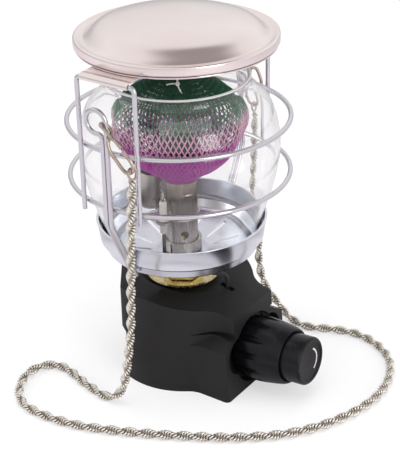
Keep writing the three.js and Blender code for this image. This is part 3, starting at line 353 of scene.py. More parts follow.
CERAMIC = pale_finish(
    "glazed_ceramic", "#ece9e2", 0.22, 3, (0.3, "#e2ddd3"), (0.7, "#f2f0ea"), 0.03, 0.3
)
GLASS = blown_glass()
RAYON = dipped_rayon()
COTTON = pale_finish(
    "twisted_cotton", "#eeece4", 0.9, 0.5, (0.3, "#cfcdc4"), (0.65, "#f7f6f0"), 0.12, 0.6
)
CHAIN_WIRE = nickel_chain_wire()
HOOK_WIRE = bright_metal("bent_nickel_wire", "#cabdb0", 0.16, 0.26, 3, "#ad9a8c")
RUBBER = extruded_rubber("nitrile_rubber", "#1c1c1c", 0.7)
LEAD_SLEEVE = extruded_rubber("silicone_sleeve", "#252426", 0.45)
NATURAL_NYLON = extruded_rubber("natural_nylon", "#cdc8ba", 0.5)


# Shapes


def bevelled(bm, geom, width, segments, **how):
    bmesh.ops.bevel(bm, geom=geom, offset=width, segments=segments, profile=0.5, material=-1, **how)
    return bm


def outward(bm):
    """The same body with all its faces turned outward."""
    bmesh.ops.recalc_face_normals(bm, faces=bm.faces)
    return bm


def chained(points):
    """A mesh of a line of (x, y, z) or (x, y, z, radius of its bend) points."""
    bm = bmesh.new()
    verts = [bm.verts.new(p[:3]) for p in points]
    for pair in zip(verts, verts[1:]):
        bm.edges.new(pair)
    bends = []
    for before, at, after, point in zip(verts, verts[1:], verts[2:], points[1:]):
        if len(point) > 3:
            bends.append((at, point[3], (at.co - before.co).angle(after.co - at.co)))
    for at, radius, turn in bends:
        bevelled(bm, [at], radius * tan(turn / 2), max(2, round(turn * 6)), affect="VERTICES")
    return bm


def walked(corners):
    """The points, in order, of a line through corners that are rounded to their bends."""
    bm = chained(corners)
    start = Vector(corners[0][:3])
    ends = [v for v in bm.verts if len(v.link_edges) == 1]
    at = min(ends, key=lambda v: (v.co - start).length)
    found, seen = [at.co.copy()], {at}
    while ahead := [e.other_vert(at) for e in at.link_edges if e.other_vert(at) not in seen]:
        at = ahead[0]
        seen.add(at)
        found.append(at.co.copy())
    bm.free()
    return found


def spun(bm, steps):
    """What a mesh covers when it is turned once about the lantern's axis."""
    line = bm.verts[:] + bm.edges[:]
    bmesh.ops.spin(
        bm, geom=line, cent=(0, 0, 0), axis=(0, 0, 1), angle=TURN, steps=steps, use_merge=True
    )
    bmesh.ops.remove_doubles(bm, verts=bm.verts, dist=1e-4)
    return outward(bm)


def turned(profile, steps=96):
    """A body of revolution from (radius, height) or (radius, height, corner radius) points."""
    points = [(r, 0, z, *more) for r, z, *more in profile]
    if points[0][0] or points[-1][0]:  # a line off the axis closes on itself
        points.append(points[0][:3])
    bm = chained(points)
    bmesh.ops.remove_doubles(bm, verts=bm.verts, dist=1e-5)
    return spun(bm, steps)


def verts_of(made):
    """The points among what an operator made."""
    return [g for g in made["geom"] if isinstance(g, bmesh.types.BMVert)]


def swept(points, width, sides):
    """A round wire along points: a circle that is extruded and turned from point to point."""
    bm = bmesh.new()
    points = [Vector(p) for p in points]
    ways = [(b - a).normalized() for a, b in zip(points, points[1:])]
    ways = [ways[0], *((a + b).normalized() for a, b in zip(ways, ways[1:])), ways[-1]]
    facing = Matrix.Translation(points[0]) @ ways[0].to_track_quat("Z", "Y").to_matrix().to_4x4()
    bmesh.ops.create_circle(bm, radius=width / 2, segments=sides, cap_ends=True, matrix=facing)
    edges = bm.edges[:]
    for i in range(1, len(points)):
        made = bmesh.ops.extrude_edge_only(bm, edges=edges)
        ring = verts_of(made)
        rim = set(ring)
        edges = [g for g in made["geom"] if isinstance(g, bmesh.types.BMEdge)]
        edges = [e for e in edges if rim.issuperset(e.verts)]
        turn = ways[i - 1].rotation_difference(ways[i]).to_matrix().to_4x4()
        move = Matrix.Translation(points[i]) @ turn @ Matrix.Translation(-points[i - 1])
        bmesh.ops.transform(bm, matrix=move, verts=ring)
    bmesh.ops.contextual_create(bm, geom=edges)
    return outward(bm)


def bent_wire(corners, width, sides):
    """A wire through corners, each rounded to its own bend."""
    return swept(walked(corners), width, sides)


def hoop(radius, width, sides, steps):
    """A ring of round wire about the lantern's axis."""
    bm = bmesh.new()
    facing = shifted(radius) @ Matrix.Rotation(pi / 2, 4, "X")
    bmesh.ops.create_circle(bm, radius=width / 2, segments=sides, matrix=facing)
    return spun(bm, steps)


def slab(outline, direction):
    """A flat outline of (x, y, z) points drawn out along a direction."""
    bm = bmesh.new()
    face = bm.faces.new([bm.verts.new(p) for p in outline])
    made = bmesh.ops.extrude_face_region(bm, geom=[face])
    bmesh.ops.translate(bm, verts=verts_of(made), vec=direction)
    return outward(bm)


def drum(radius, low, high, steps=96):
    """A plain cylinder, mostly for cutting."""
    bm = bmesh.new()
    tall, place = high - low, shifted(z=(low + high) / 2)
    bmesh.ops.create_cone(
        bm, cap_ends=True, segments=steps, radius1=radius, radius2=radius, depth=tall, matrix=place
    )
    return bm


def block(low, high):
    """A plain box between two corners, mostly for cutting."""
    bm = bmesh.new()
    low, high = Vector(low), Vector(high)
    size = Matrix.Diagonal((*(high - low), 1))
    bmesh.ops.create_cube(bm, size=1, matrix=Matrix.Translation((low + high) / 2) @ size)
    return bm


def moved(bm, *matrices):
    """The same body, moved by each matrix in turn."""
    for matrix in matrices:
        bmesh.ops.transform(bm, matrix=matrix, verts=bm.verts)
    return bm


def about_z(angle):
    return Matrix.Rotation(radians(angle), 4, "Z")


def shifted(x=0.0, y=0.0, z=0.0):
    return Matrix.Translation((x, y, z))


def around(count, make):
    """Even copies round the axis, the first of them half a step from the knob's side."""
    return [moved(make(), about_z(360 / count * (i + 0.5))) for i in range(count)]


ON_KNOB = shifted(FACE_X, 0, KNOB_HEIGHT) @ Matrix.Rotation(pi / 2 - KNOB_TILT, 4, "Y")


def mesh_of(bm, name):
    mesh = bpy.data.meshes.new(name)
    bm.to_mesh(mesh)
    bm.free()
    return mesh


def object_of(bm, name):
    return in_scene(name, mesh_of(bm, name))


def carved(bm, *tools, how="DIFFERENCE"):
    """Cuts, joins or crosses a closed body with others."""
    for tool in tools:
        body, other = object_of(bm, "carving"), object_of(tool, "tool")
        step = body.modifiers.new("carve", "BOOLEAN")
        step.operation = how
        step.solver = "EXACT"
        step.object = other
        graph = bpy.context.evaluated_depsgraph_get()
        mesh = bpy.data.meshes.new_from_object(body.evaluated_get(graph))
        bm = bmesh.new()
        bm.from_mesh(mesh)
        for data in (body.data, other.data, mesh):
            bpy.data.meshes.remove(data)
    return bm


def eased(bm, width, least, segments):
    """Rounds the edges that turn by more than an angle in degrees."""
    bmesh.ops.remove_doubles(bm, verts=bm.verts, dist=1e-3)
    bmesh.ops.dissolve_limit(bm, angle_limit=radians(1), verts=bm.verts, edges=bm.edges)
    edges = [e for e in bm.edges if e.calc_face_angle(0) > radians(least)]
    return bevelled(bm, edges, width, segments, affect="EDGES", clamp_overlap=True)


def finished(bm, name, finish, slot, *nodes, body="body", crease=35):
    """Places a piece in the row frame, gives it its finish and body, and lets it stand for the
    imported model's pieces that it replaces."""
    bmesh.ops.translate(bm, verts=bm.verts, vec=(AXIS_X, 0, 0))
    bmesh.ops.scale(bm, verts=bm.verts, vec=(MM, MM, MM))
    made = object_of(bm, name)
    made.data.materials.append(finish)
    made.data.shade_smooth()
    made.data.set_sharp_from_angle(angle=radians(crease))
    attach(made, body)
    if nodes:
        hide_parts(*nodes)
    return made


# Chain: the route as it lies, then its links

CURVE_STEPS = 24


def smooth_line(points, spacing):
    """Points at an even spacing on the curve through the given ones."""
    points = [Vector(p) for p in points]
    ends = [2 * points[0] - points[1], *points, 2 * points[-1] - points[-2]]
    fine = []
    for a, b, c, d in zip(ends, ends[1:], ends[2:], ends[3:]):
        t1 = (b - a).length ** 0.5
        t2 = t1 + (c - b).length ** 0.5
        t3 = t2 + (d - c).length ** 0.5
        for k in range(CURVE_STEPS):
            t = t1 + (t2 - t1) * k / CURVE_STEPS
            ab = a.lerp(b, t / t1)
            bc = b.lerp(c, (t - t1) / (t2 - t1))
            cd = c.lerp(d, (t - t2) / (t3 - t2))
            abc = ab.lerp(bc, t / t2)
            bcd = bc.lerp(cd, (t - t1) / (t3 - t1))
            fine.append(abc.lerp(bcd, (t - t1) / (t2 - t1)))
    fine.append(points[-1])
    even, left = [fine[0]], spacing
    for a, b in zip(fine, fine[1:]):
        while (b - a).length >= left:
            a = a + (b - a).normalized() * left
            even.append(a)
            left = spacing
        left -= (b - a).length
    return even


def way_at(line, i):
    """The direction of a line at one of its points."""
    return (line[min(i + 1, len(line) - 1)] - line[max(i - 1, 0)]).normalized()


CHAIN_ROUTE = [
    (17.7, -62.6, 135.8), (15.2, -62.3, 107), (12.8, -61.4, 76), (10.7, -60.7, 50),
    (8, -60.2, 34), (4.9, -59.6, 19.5), (2.1, -59.5, 10.8), (-0.7, -59.9, 6.5), (-5, -60.6, 3.5),
    (-10.8, -60.7, 2.5), (-17, -59.5, 2.5), (-25.4, -57.4, 2.5), (-44.9, -51.8, 2.5),
    (-52.2, -53.4, 2.5), (-57.1, -59.2, 2.5), (-57.6, -69, 2.5), (-53.2, -78.7, 2.5),
    (-46.8, -86.2, 2.5), (-37.5, -90.8, 2.5), (-24, -91.6, 2.5), (-6.1, -89.2, 2.5),
    (16.6, -80.9, 2.5), (44.4, -67.3, 2.5), (69.3, -52.5, 2.5), (89.4, -34.9, 2.5),
    (102.4, -14.5, 2.5), (110.2, 12.3, 2.5), (108.5, 34.1, 2.5), (99, 53, 2.5), (85.4, 62.8, 2.5),
    (71.7, 65.8, 2.5), (58, 62.8, 2.5), (46, 57.8, 2.5), (36.9, 58.2, 2.5), (29.5, 60.6, 3.4),
    (21.5, 62.2, 8.6), (13, 62.8, 16.8), (9, 62.8, 28), (8, 62.8, 60), (8, 62.6, 125.4),
]
LINK_WIRE = 1.1
LINK_RADIUS = 1.1
LINK_OFFSET = 0.95  # of a link's middle from the chain's middle
LINK_ADVANCE = 0.66
TWIST_LENGTH = 18.6  # chain length in which its two strands turn once
LINK_LEAN = radians(30)
LINK_SLACK = 0.08  # by which each link leans a little more or less, in radians


def rope_chain():
    """Small rings, laid in two strands that twist round each other."""
    shape = mesh_of(hoop(LINK_RADIUS, LINK_WIRE, 5, 12), "link")
    line = smooth_line(CHAIN_ROUTE, LINK_ADVANCE)
    bm = bmesh.new()
    depth = bm.verts.layers.float.new("depth")
    side = Vector((1, 0, 0))
    luck = random.Random(4)
    for i, at in enumerate(line):
        way = way_at(line, i)
        side = (side - way * side.dot(way)).normalized()
        twist = TURN * i * LINK_ADVANCE / TWIST_LENGTH + pi * (i % 2)
        out = Matrix.Rotation(twist, 3, way) @ side
        lean = LINK_LEAN + luck.uniform(-LINK_SLACK, LINK_SLACK)
        normal = Matrix.Rotation(lean, 3, out) @ way.cross(out)
        facing = Matrix((out, normal.cross(out), normal)).transposed().to_4x4()
        place = Matrix.Translation(at + out * LINK_OFFSET)
        bm.from_mesh(shape)
        bm.verts.ensure_lookup_table()
        fresh = bm.verts[-len(shape.vertices) :]
        bmesh.ops.transform(bm, matrix=place @ facing, verts=fresh)
        # Each point carries how far out from the chain's middle it lies, from which the finish
        # paints shade in the twist
        for v in fresh:
            off = v.co - at
            off -= way * off.dot(way)
            v[depth] = min(1, off.length / (CHAIN_DIAMETER / 2))
    bpy.data.meshes.remove(shape)
    return bm, line


chain_links, chain_line = rope_chain()
chain = finished(chain_links, "chain_links", CHAIN_WIRE, "chain_steel", "chain", crease=180)


# Hooks and end rings

HOOK_WIDTH = 3.6
HOOK_LENGTH = 23.5
HOOK_THICK = 1.8
END_RING_RADIUS = 2.7
END_RING_WIRE = 1.3
SEAT_GAP = 0.3
HOOK_NOSE = [(0.98, 0.5), (0.95, 0.36), (0.72, 0.2)]
HOOK_TURN = [
    (0.5, -0.3, -1), (0.18, -0.9, -0.65), (0, -1.1, 0), (0, -0.6, 0.8), (0, 0, 1), (0, 0.6, 0.8),
    (-0.05, 1.15, 0), (-0.4, 1.6, -0.9),
]
HOOK_BACK = [
    (-0.95, 0.4), (-1, 0.62), (-1, 0.84), (-0.8, 0.94), (-0.4, 0.988), (0, 1), (0.4, 0.988),
    (0.8, 0.94), (1, 0.84), (1, 0.66), (0.98, 0.54),
]
FRONT_SEAT = (EYE_RADIUS - EYE_OFFSET, EYE_HEIGHT - 2.8, 90, 44)
REAR_SEAT = (-EYE_OFFSET, EYE_HEIGHT - EYE_RADIUS, 0, -7)
HOOK_OUT = CAGE_WIRE / 2 + HOOK_THICK / 2 + 2 * SEAT_GAP


def hook_point(seat, side, down, out):
    x, z, _, lean_degrees = seat
    lean = radians(lean_degrees)
    across = side * cos(lean) + down * sin(lean)
    rise = side * sin(lean) - down * cos(lean)
    return x + across, out - CAGE_RADIUS, z + rise


def hook(seat):
    """One bent wire: nose, turn through the eye, back, lower bend and latch side."""
    _, _, wire, lean = seat
    between = radians(lean - wire + 90)
    reach = ((CAGE_WIRE + HOOK_THICK) / 2 + SEAT_GAP) / abs(sin(between))
    points = [
        *(hook_point(seat, HOOK_WIDTH * a, HOOK_LENGTH * d, -HOOK_OUT) for a, d in HOOK_NOSE),
        *(hook_point(seat, HOOK_WIDTH * a, reach * d, HOOK_OUT * o) for a, d, o in HOOK_TURN),
        *(hook_point(seat, HOOK_WIDTH * a, HOOK_LENGTH * d, -HOOK_OUT) for a, d in HOOK_BACK),
    ]
    return swept(smooth_line(points, 0.9), HOOK_THICK, 12)


def end_ring(seat):
    at = hook_point(seat, 0, HOOK_LENGTH, -HOOK_OUT)
    lean = radians(seat[3]) / 2
    drop = END_RING_RADIUS - END_RING_WIRE / 2 - HOOK_THICK / 2 - SEAT_GAP
    ring = hoop(END_RING_RADIUS, END_RING_WIRE, 10, 28)
    turn = Matrix.Rotation(pi / 2 - lean, 4, "Y")
    place = shifted(at[0] + drop * sin(lean), at[1], at[2] - drop * cos(lean))
    return moved(ring, turn, place)


on_chain = [
    finished(shape, name, HOOK_WIRE, "chain_steel", node)
    for shape, name, node in (
        (hook(FRONT_SEAT), "hook_front", "front_hook"),
        (moved(hook(REAR_SEAT), about_z(180)), "hook_rear", "rear_hook"),
        (end_ring(FRONT_SEAT), "ring_front", "front_end_ring"),
        (moved(end_ring(REAR_SEAT), about_z(180)), "ring_rear", "rear_end_ring"),
    )
]


# Base housing

BASE_RADIUS = 38
BASE_FLAT = 33.5
FLAT_TURN = 144  # of each rear flat from the knob's direction
BLOCK_HALF = 28
UPPER_HALF = 18.5  # above the ledges
BLOCK_CORNER = 2.5
BLOCK_FILLET = 14
FACE_FOOT = 47.5
FACE_SLOPE = 3.1 / 45.6
FACE_TOP = 45.6
LEDGE = 34.5
LEDGE_FALL = 0.54
WALL = 2.6
CORE_INSET = 1.2  # of the walls inside the shell from its outside
KNOB_RECESS = 19.2
SCOOP = 10.4
GRIP_TOP = 28
GRIP_DEPTH = 2
GROOVE_START = 24
GROOVE_DEPTH = 2
WASHER_RECESS = 22.5
SPINDLE_BORE = 2.85
PIN_BORE = 1.3
PIN_OFFSET = 9


def arc(x, y, radius, start, end, steps):
    """Points on an arc of a plan."""
    turns = (start + (end - start) * k / steps for k in range(steps + 1))
    return [(x + radius * cos(turn), y + radius * sin(turn)) for turn in turns]


def block_fillet(half_width):
    """The middle of the fillet beside the valve block, and its angle from the knob."""
    y = half_width + BLOCK_FILLET
    x = sqrt((BASE_RADIUS + BLOCK_FILLET) ** 2 - y * y)
    return x, y, atan2(y, x)


def base_plan(inset, half_width, low, high):
    """The base's plan as a prism: a round body with two rear flats and the valve block."""
    x, y, meet = block_fillet(half_width)
    flat = radians(FLAT_TURN)
    flat_half = acos((BASE_FLAT - inset) / (BASE_RADIUS - inset))
    half, reach = half_width - inset, FACE_FOOT - inset
    corner = max(BLOCK_CORNER - inset, 0.5)
    side = [
        *arc(reach - corner, half - corner, corner, 0, pi / 2, 6),
        *arc(x, y, BLOCK_FILLET + inset, -pi / 2, meet - pi, 12),
        *arc(0, 0, BASE_RADIUS - inset, meet, flat - flat_half, 24)[1:],
        *arc(0, 0, BASE_RADIUS - inset, flat + flat_half, pi, 4),
    ]
    outline = side + [(x, -y) for x, y in reversed(side[:-1])]
    return slab([(x, y, low) for x, y in outline], (0, 0, high - low))


def base_form(inset, low):
    """The outside of the base, or its inside at an inset: the lower block under its ledges, the
    narrower upper block and the round body, under the sloping top and behind the face."""
    tall = BASE_TOP + 9
    wide, ledge = BASE_RADIUS + 3, LEDGE - inset
    foot = ledge - LEDGE_FALL * (wide - UPPER_HALF + inset)
    start = (BASE_RADIUS - inset) * cos(block_fillet(BLOCK_HALF)[2])
    under = [
        (start, -wide, low - 1), (start, wide, low - 1), (start, wide, foot),
        (start, UPPER_HALF - inset, ledge), (start, inset - UPPER_HALF, ledge),
        (start, -wide, foot),
    ]
    lower = base_plan(inset, BLOCK_HALF, low, tall)
    lower = carved(lower, slab(under, (FACE_FOOT, 0, 0)), how="INTERSECT")
    form = carved(base_plan(inset, UPPER_HALF, low, tall), lower, how="UNION")
    top, face, reach = BASE_TOP - inset, FACE_TOP - inset, FACE_FOOT - inset
    profile = [
        (-BASE_RADIUS - 3, low), (reach - FACE_SLOPE * low, low),
        (reach - FACE_SLOPE * face, face), (4, top), (-BASE_RADIUS - 3, top),
    ]
    side_view = slab([(x, -70, z) for x, z in profile], (0, 140, 0))
    return carved(form, side_view, how="INTERSECT")


def grip_cut(sign, inset):
    """What sets the lower part of a rear flat back, with a sloping upper edge."""
    depth, high, far = BASE_FLAT - GRIP_DEPTH - inset, GRIP_TOP + inset, 60
    profile = [(depth, -3), (far, -3), (far, high + far - depth), (depth, high)]
    tool = slab([(x, -BASE_RADIUS, z) for x, z in profile], (0, 2 * BASE_RADIUS, 0))
    return moved(tool, about_z(sign * FLAT_TURN))


def gripped_form(inset, low):
    return carved(base_form(inset, low), grip_cut(-1, inset), grip_cut(1, inset))


def parting_groove():
    """A wedge-shaped gap that follows the inner edge of each ledge."""
    far = FACE_FOOT + 3
    profile = [(GROOVE_START, LEDGE + 0.4), (far, LEDGE - 1.8), (far, LEDGE + 3.2)]
    wedge = slab([(x, -40, z) for x, z in profile], (0, 80, 0))
    return carved(wedge, base_plan(GROOVE_DEPTH, UPPER_HALF, LEDGE - 9, LEDGE + 9))


def scoop(sign):
    return moved(drum(SCOOP, -5, 8, 48), shifted(-1.9, sign * 14.2), ON_KNOB)


def base_housing():
    """The shell with its thick walls behind the knob and under the washer, and what is cut in."""
    shell = carved(eased(gripped_form(0, 0), 1.5, 24, 4), gripped_form(WALL, -3))
    face_wall = moved(block((-40, -40, -9), (40, 40, 4)), ON_KNOB)
    walls = carved(face_wall, drum(25.1, 47.5, BASE_TOP + 4), how="UNION")
    walls = carved(gripped_form(CORE_INSET, 0.4), walls, how="INTERSECT")
    lead_slot = block((22.5, 1.7, LEDGE - 3), (30.5, 4.7, BASE_TOP + 3))
    return carved(
        carved(shell, walls, how="UNION"),
        drum(WASHER_RECESS, 50.5, 60),
        drum(NECK_BORE, 30, 60, 48),
        moved(drum(KNOB_RECESS, -6, 8), ON_KNOB),
        scoop(-1),
        scoop(1),
        moved(drum(SPINDLE_BORE, -16, 8, 32), ON_KNOB),
        moved(drum(PIN_BORE, -16, 8, 24), shifted(-PIN_OFFSET), ON_KNOB),
        lead_slot,
        parting_groove(),
    )


finished(base_housing(), "housing", NYLON, "housing_plastic", "base_housing", crease=28)


# Knob and button

KNOB_LINE = [(16.3, -3), (17.1, 2), (17.3, 6.5), (17, 11), (16.5, 15), (15.9, 19), (15.2, 22.7)]
KNOB_FOOT = -3.6
KNOB_TOP = 23.5
KNOB_FLOOR = 5.4
KNOB_BORE = 2.8
WELL = 13.3  # in which the button moves
FLUTE_RADIUS = 2
FLUTE_REACH = 16.2 + FLUTE_RADIUS - 1.1
FLUTE_TILT = radians(4.6)
BUTTON_RADIUS = 12.9
BUTTON_TOP = 34.5
BUTTON_FACE = 34


def flute():
    tilt = Matrix.Rotation(FLUTE_TILT, 4, "Y")
    return moved(drum(FLUTE_RADIUS, -8, 30, 32), tilt, shifted(FLUTE_REACH, 0, KNOB_FOOT))


def knob():
    flank = smooth_line([(r, 0, z) for r, z in KNOB_LINE], 1.3)
    profile = [
        (KNOB_BORE, KNOB_FOOT), (15.7, KNOB_FOOT),
        *((p.x, p.z) for p in flank),
        (14.6, KNOB_TOP, 0.4), (WELL, KNOB_TOP, 0.4), (WELL, KNOB_FLOOR), (KNOB_BORE, KNOB_FLOOR),
    ]
    fluted = carved(turned(profile, 120), *around(12, flute))
    return moved(eased(fluted, 0.35, 24, 2), ON_KNOB)


def button():
    profile = [
        (0, 30.9), (11.1, 30.9), (11.1, 12), (BUTTON_RADIUS, 12, 0.3),
        (BUTTON_RADIUS, BUTTON_TOP, 1.4), (10.6, BUTTON_TOP, 0.4), (10.4, BUTTON_FACE, 0.3),
        (0, BUTTON_FACE),
    ]
    return moved(turned(profile), ON_KNOB)


def button_arc():
    """The plain printed arc on the button: a thin crescent of ink."""
    bm = bmesh.new()
    height = BUTTON_FACE + 0.02
    inner = [bm.verts.new((6.2, 0, height)), bm.verts.new((7.2, 0, height))]
    edge = bm.edges.new(inner)
    bmesh.ops.transform(bm, verts=inner, matrix=about_z(30))
    bmesh.ops.spin(
        bm, geom=[*inner, edge], cent=(0, 0, 0), axis=(0, 0, 1), angle=radians(120), steps=32
    )
    bmesh.ops.solidify(bm, geom=bm.faces[:], thickness=0.06)
    return moved(bm, ON_KNOB)


finished(knob(), "knob_fluted", KNOB_BLACK, "knob_plastic", "control_knob", body="knob", crease=30)
finished(button(), "button_cap", BUTTON_BLACK, "knob_plastic", "push_button", body="button")
finished(button_arc(), "button_arc", INK, "knob_plastic", body="button")


# Washer, nut and pan


def dished_washer():
    sheet = 0.9
    profile = [
        (NECK_BORE, DISH_FLOOR), (16.9, DISH_FLOOR, 2), (19.5, DISH_FLOOR + 2.6),
        (18.6, DISH_FLOOR + 3.05), (16.45, DISH_FLOOR + sheet, 1.5),
        (NECK_BORE, DISH_FLOOR + sheet),
    ]
    return turned(profile)


def neck_nut():
    hexagon = eased(drum(19 / sqrt(3), 52, 56.6, 6), 0.5, 30, 2)
    return carved(hexagon, drum(NECK_BORE, 50, 60, 48))


def base_pan():
    sheet = 0.9
    outer = [
        (JET_BORE, 0), (14, 0, 3), (34, 4.2, 3), (39.6, 2.4, 2), (42, 8.3, 1.5), (43.4, 9.2, 1),
        (44.9, 19.6), (45.35, 20.05, 0.3), (44.9, 20.5, 0.3),
    ]
    inner = [
        (44, 20.05), (42.5, 10.1, 1), (41.1, 9.2, 1), (38.7, 4.2, 1.5), (34, 5.1, 3),
        (14, sheet, 3), (JET_BORE, sheet),
    ]
    pan = moved(turned(outer + inner, 128), shifted(z=PAN_FLOOR))
    slots = around(12, lambda: block((17, -1, PAN_FLOOR - 3), (31, 1, PAN_FLOOR + 9)))
    lead_hole = moved(drum(1.3, PAN_FLOOR - 3, PAN_FLOOR + 3, 24), shifted(*ELECTRODE))
    return carved(pan, *slots, lead_hole)


finished(dished_washer(), "washer_dished", BRASS, "bright_brass", "dished_washer")
finished(neck_nut(), "nut_hex", BRASS, "brass", "neck_nut")
finished(base_pan(), "pan", PAN_CHROME, "chrome", "base_pan", crease=40)


# Burner

SLEEVE_FOOT = 68.4
SLEEVE_SEAT = 71.35
TUBE_FOOT = 71.65
TUBE_BORE = 7.7
AIR_HOLES = PAN_FLOOR + 12
BURNER_TOP = 111.2
LOUVRE_TURN = -30
BRACKET_FOOT = 87.2
BRACKET_TOP = 88.2


def burner_sleeve():
    profile = [
        (JET_BORE, SLEEVE_FOOT), (10.2, SLEEVE_FOOT, 0.5), (10.2, SLEEVE_FOOT + 6.5, 0.4),
        (8.8, SLEEVE_FOOT + 6.5), (8.8, SLEEVE_SEAT), (JET_BORE, SLEEVE_SEAT),
    ]
    return turned(profile, 72)


def burner_tube():
    """The tube with four air holes at its foot, and a louvre pushed out of its side above."""
    profile = [
        (TUBE_BORE, TUBE_FOOT), (BURNER_RADIUS, TUBE_FOOT), (BURNER_RADIUS, 80.5, 0.6),
        (BURNER_RADIUS, BURNER_TOP, 0.3), (TUBE_BORE, BURNER_TOP, 0.3),
    ]
    outward = Matrix.Rotation(pi / 2, 4, "Y")
    holes = around(4, lambda: moved(drum(2.2, 0, 12, 32), outward, shifted(z=AIR_HOLES)))
    lip = bmesh.new()
    bulge = shifted(BURNER_RADIUS - 0.2, 0, 101.2) @ Matrix.Diagonal((1.0, 2.8, 1.5, 1))
    bmesh.ops.create_uvsphere(lip, u_segments=24, v_segments=12, radius=1, matrix=bulge)
    lip = carved(lip, drum(7.9, 90, 110, 48), block((0, -4, 98), (12, 4, 100.9)))
    mouth = block((7, -2.3, 100.2), (9.6, 2.3, 101.3))
    tube = carved(turned(profile), moved(lip, about_z(LOUVRE_TURN)), how="UNION")
    return carved(tube, *holes, moved(mouth, about_z(LOUVRE_TURN)))


def electrode_bracket():
    x, y = SHIELD
    arm = block((0, -4, BRACKET_FOOT), (hypot(x, y), 4, BRACKET_TOP))
    arm = moved(arm, about_z(degrees(atan2(y, x))))
    seat = moved(drum(6.3, BRACKET_FOOT, BRACKET_TOP, 48), shifted(x, y))
    lug = moved(drum(4, BRACKET_FOOT, BRACKET_TOP, 36), shifted(*ELECTRODE))
    plate = carved(drum(9.8, BRACKET_FOOT, 90.2, 72), arm, seat, lug, how="UNION")
    lug_hole = moved(drum(2.3, 80, 100, 32), shifted(*ELECTRODE))
    return eased(carved(plate, drum(8.8, 80, 100, 72), lug_hole), 0.25, 40, 2)


def spark_shield():
    profile = [(5.7, 88.5), (6.3, 88.5), (6.3, 106.5, 0.25), (5.7, 106.5, 0.25)]
    return moved(turned(profile, 64), shifted(*SHIELD))


def insulator():
    profile = [
        (1, 81.7), (2, 81.7, 0.3), (2, 88.5), (3, 88.5, 0.2), (3, 89.5, 0.6), (2, 90.5, 0.3),
        (2, 98.7, 0.6), (1.6, 99.7, 0.3), (1, 99.7),
    ]
    return moved(turned(profile, 40), shifted(*ELECTRODE))


def spark_rod():
    """A rod whose tip leans towards the burner."""
    x, y = ELECTRODE
    lean = 1 - 0.75 / hypot(x, y)
    corners = [(x, y, 84.2), (x, y, 100.7, 0.7), (x * lean, y * lean, 103.7)]
    return bent_wire(corners, 1.4, 12)


finished(burner_sleeve(), "sleeve", BURNER_STEEL, "steel", "burner_sleeve")
finished(burner_tube(), "burner", BURNER_STEEL, "steel", "burner_tube")
finished(electrode_bracket(), "bracket", BRACKET_STEEL, "steel", "electrode_bracket")
finished(spark_shield(), "shield", BRACKET_STEEL, "steel", "spark_shield")
finished(insulator(), "insulator", CERAMIC, "ceramic", "electrode_insulator")
finished(spark_rod(), "spark_rod", SPRING_STEEL, "steel", "electrode_tip")


# Glass globe

GLASS_FOOT = 77.6
GLASS_WALL = 1.9
GLASS_LINE = [
    (41.4, 0), (43.6, 13), (48.75, 30.2), (51.9, 52), (47.6, 71.4), (39.05, 81.5), (36.6, 84),
    (37.3, 88.4),
]
MOUTH_ROUND = 0.93
FOOT_ROUND = 0.9


def glass_globe():
    line = smooth_line([(r, 0, z) for r, z in GLASS_LINE], 1.6)
    outer = [(p.x, p.z) for p in line]
    inner = []
    for i, at in enumerate(line):
        way = way_at(line, i)
        inner.append((at.x - GLASS_WALL * way.z, at.z + GLASS_WALL * way.x))
    outer[0] = (*outer[0], FOOT_ROUND)
    inner[0] = (inner[0][0], 0, FOOT_ROUND)
    outer[-1] = (*outer[-1], MOUTH_ROUND)
    inner[-1] = (inner[-1][0], GLASS_LINE[-1][1], MOUTH_ROUND)
    return moved(turned(outer + inner[::-1], 128), shifted(z=GLASS_FOOT))


finished(glass_globe(), "globe", GLASS, "clear_glass", "glass_globe", crease=60)


# Wire cage


def bail(sign):
    y = sign * BAIL_REACH
    foot = LOWER_RING - 4
    corners = [
        (-BAIL_HALF, y, foot), (-BAIL_HALF, y, BAIL_TOP, 2.6), (BAIL_HALF, y, BAIL_TOP, 2.6),
        (BAIL_HALF, y, foot),
    ]
    return bent_wire(corners, CAGE_WIRE, 16)


def eye_wire():
    """A hairpin whose strands lean on the pan's shoulder below and close in an eye above."""
    half, knee, foot = 1.35, 105.8, 70.4
    drop, inward = knee - 76.4, CAGE_RADIUS - 43.4
    slope = atan2(drop, inward) + asin(1.5 / hypot(drop, inward))
    foot_y = -(CAGE_RADIUS - (knee - foot) / tan(slope))
    right_x, left_x = EYE_RADIUS - EYE_OFFSET, -EYE_RADIUS - EYE_OFFSET
    top, low = EYE_HEIGHT + EYE_RADIUS, EYE_HEIGHT - EYE_RADIUS
    y = -CAGE_RADIUS
    corners = [
        (half, foot_y, foot), (half, y, knee, 6), (half, y, low - 2.3, 2.3),
        (right_x, y, EYE_HEIGHT - 1.15, 2.3), (right_x, y, top, 5.99), (left_x, y, top, 5.99),
        (left_x, y, low, 5.99), (-half, y, low, 2.3), (-half, y, knee, 6), (-half, foot_y, foot),
    ]
    return bent_wire(corners, CAGE_WIRE, 16)


def cage_ring(height):
    return moved(hoop(RING_RADIUS, RING_WIRE, 16, 160), shifted(z=height))


for shape, name, node in (
    (cage_ring(LOWER_RING), "ring_lower", "lower_ring"),
    (cage_ring(UPPER_RING), "ring_upper", "upper_ring"),
    (bail(-1), "bail_front", "front_bail"),
    (bail(1), "bail_rear", "rear_bail"),
    (eye_wire(), "eye_front", "front_eye_wire"),
    (moved(eye_wire(), about_z(180)), "eye_rear", "rear_eye_wire"),
):
    finished(shape, name, WIRE_CHROME, "chrome", node)


# Lid

LID_RADIUS = 50.6
LID_SHEET = 0.8
EAR_START = 36.5
EAR_HALF = 14.2
EAR_HEM = 1.95  # radius of the hem round the bail
DOME_LINE = [(46, 187.1), (39.56, 192.1), (31.3, 194.3), (20.7, 195.75), (10.1, 196.4), (0, 196.6)]


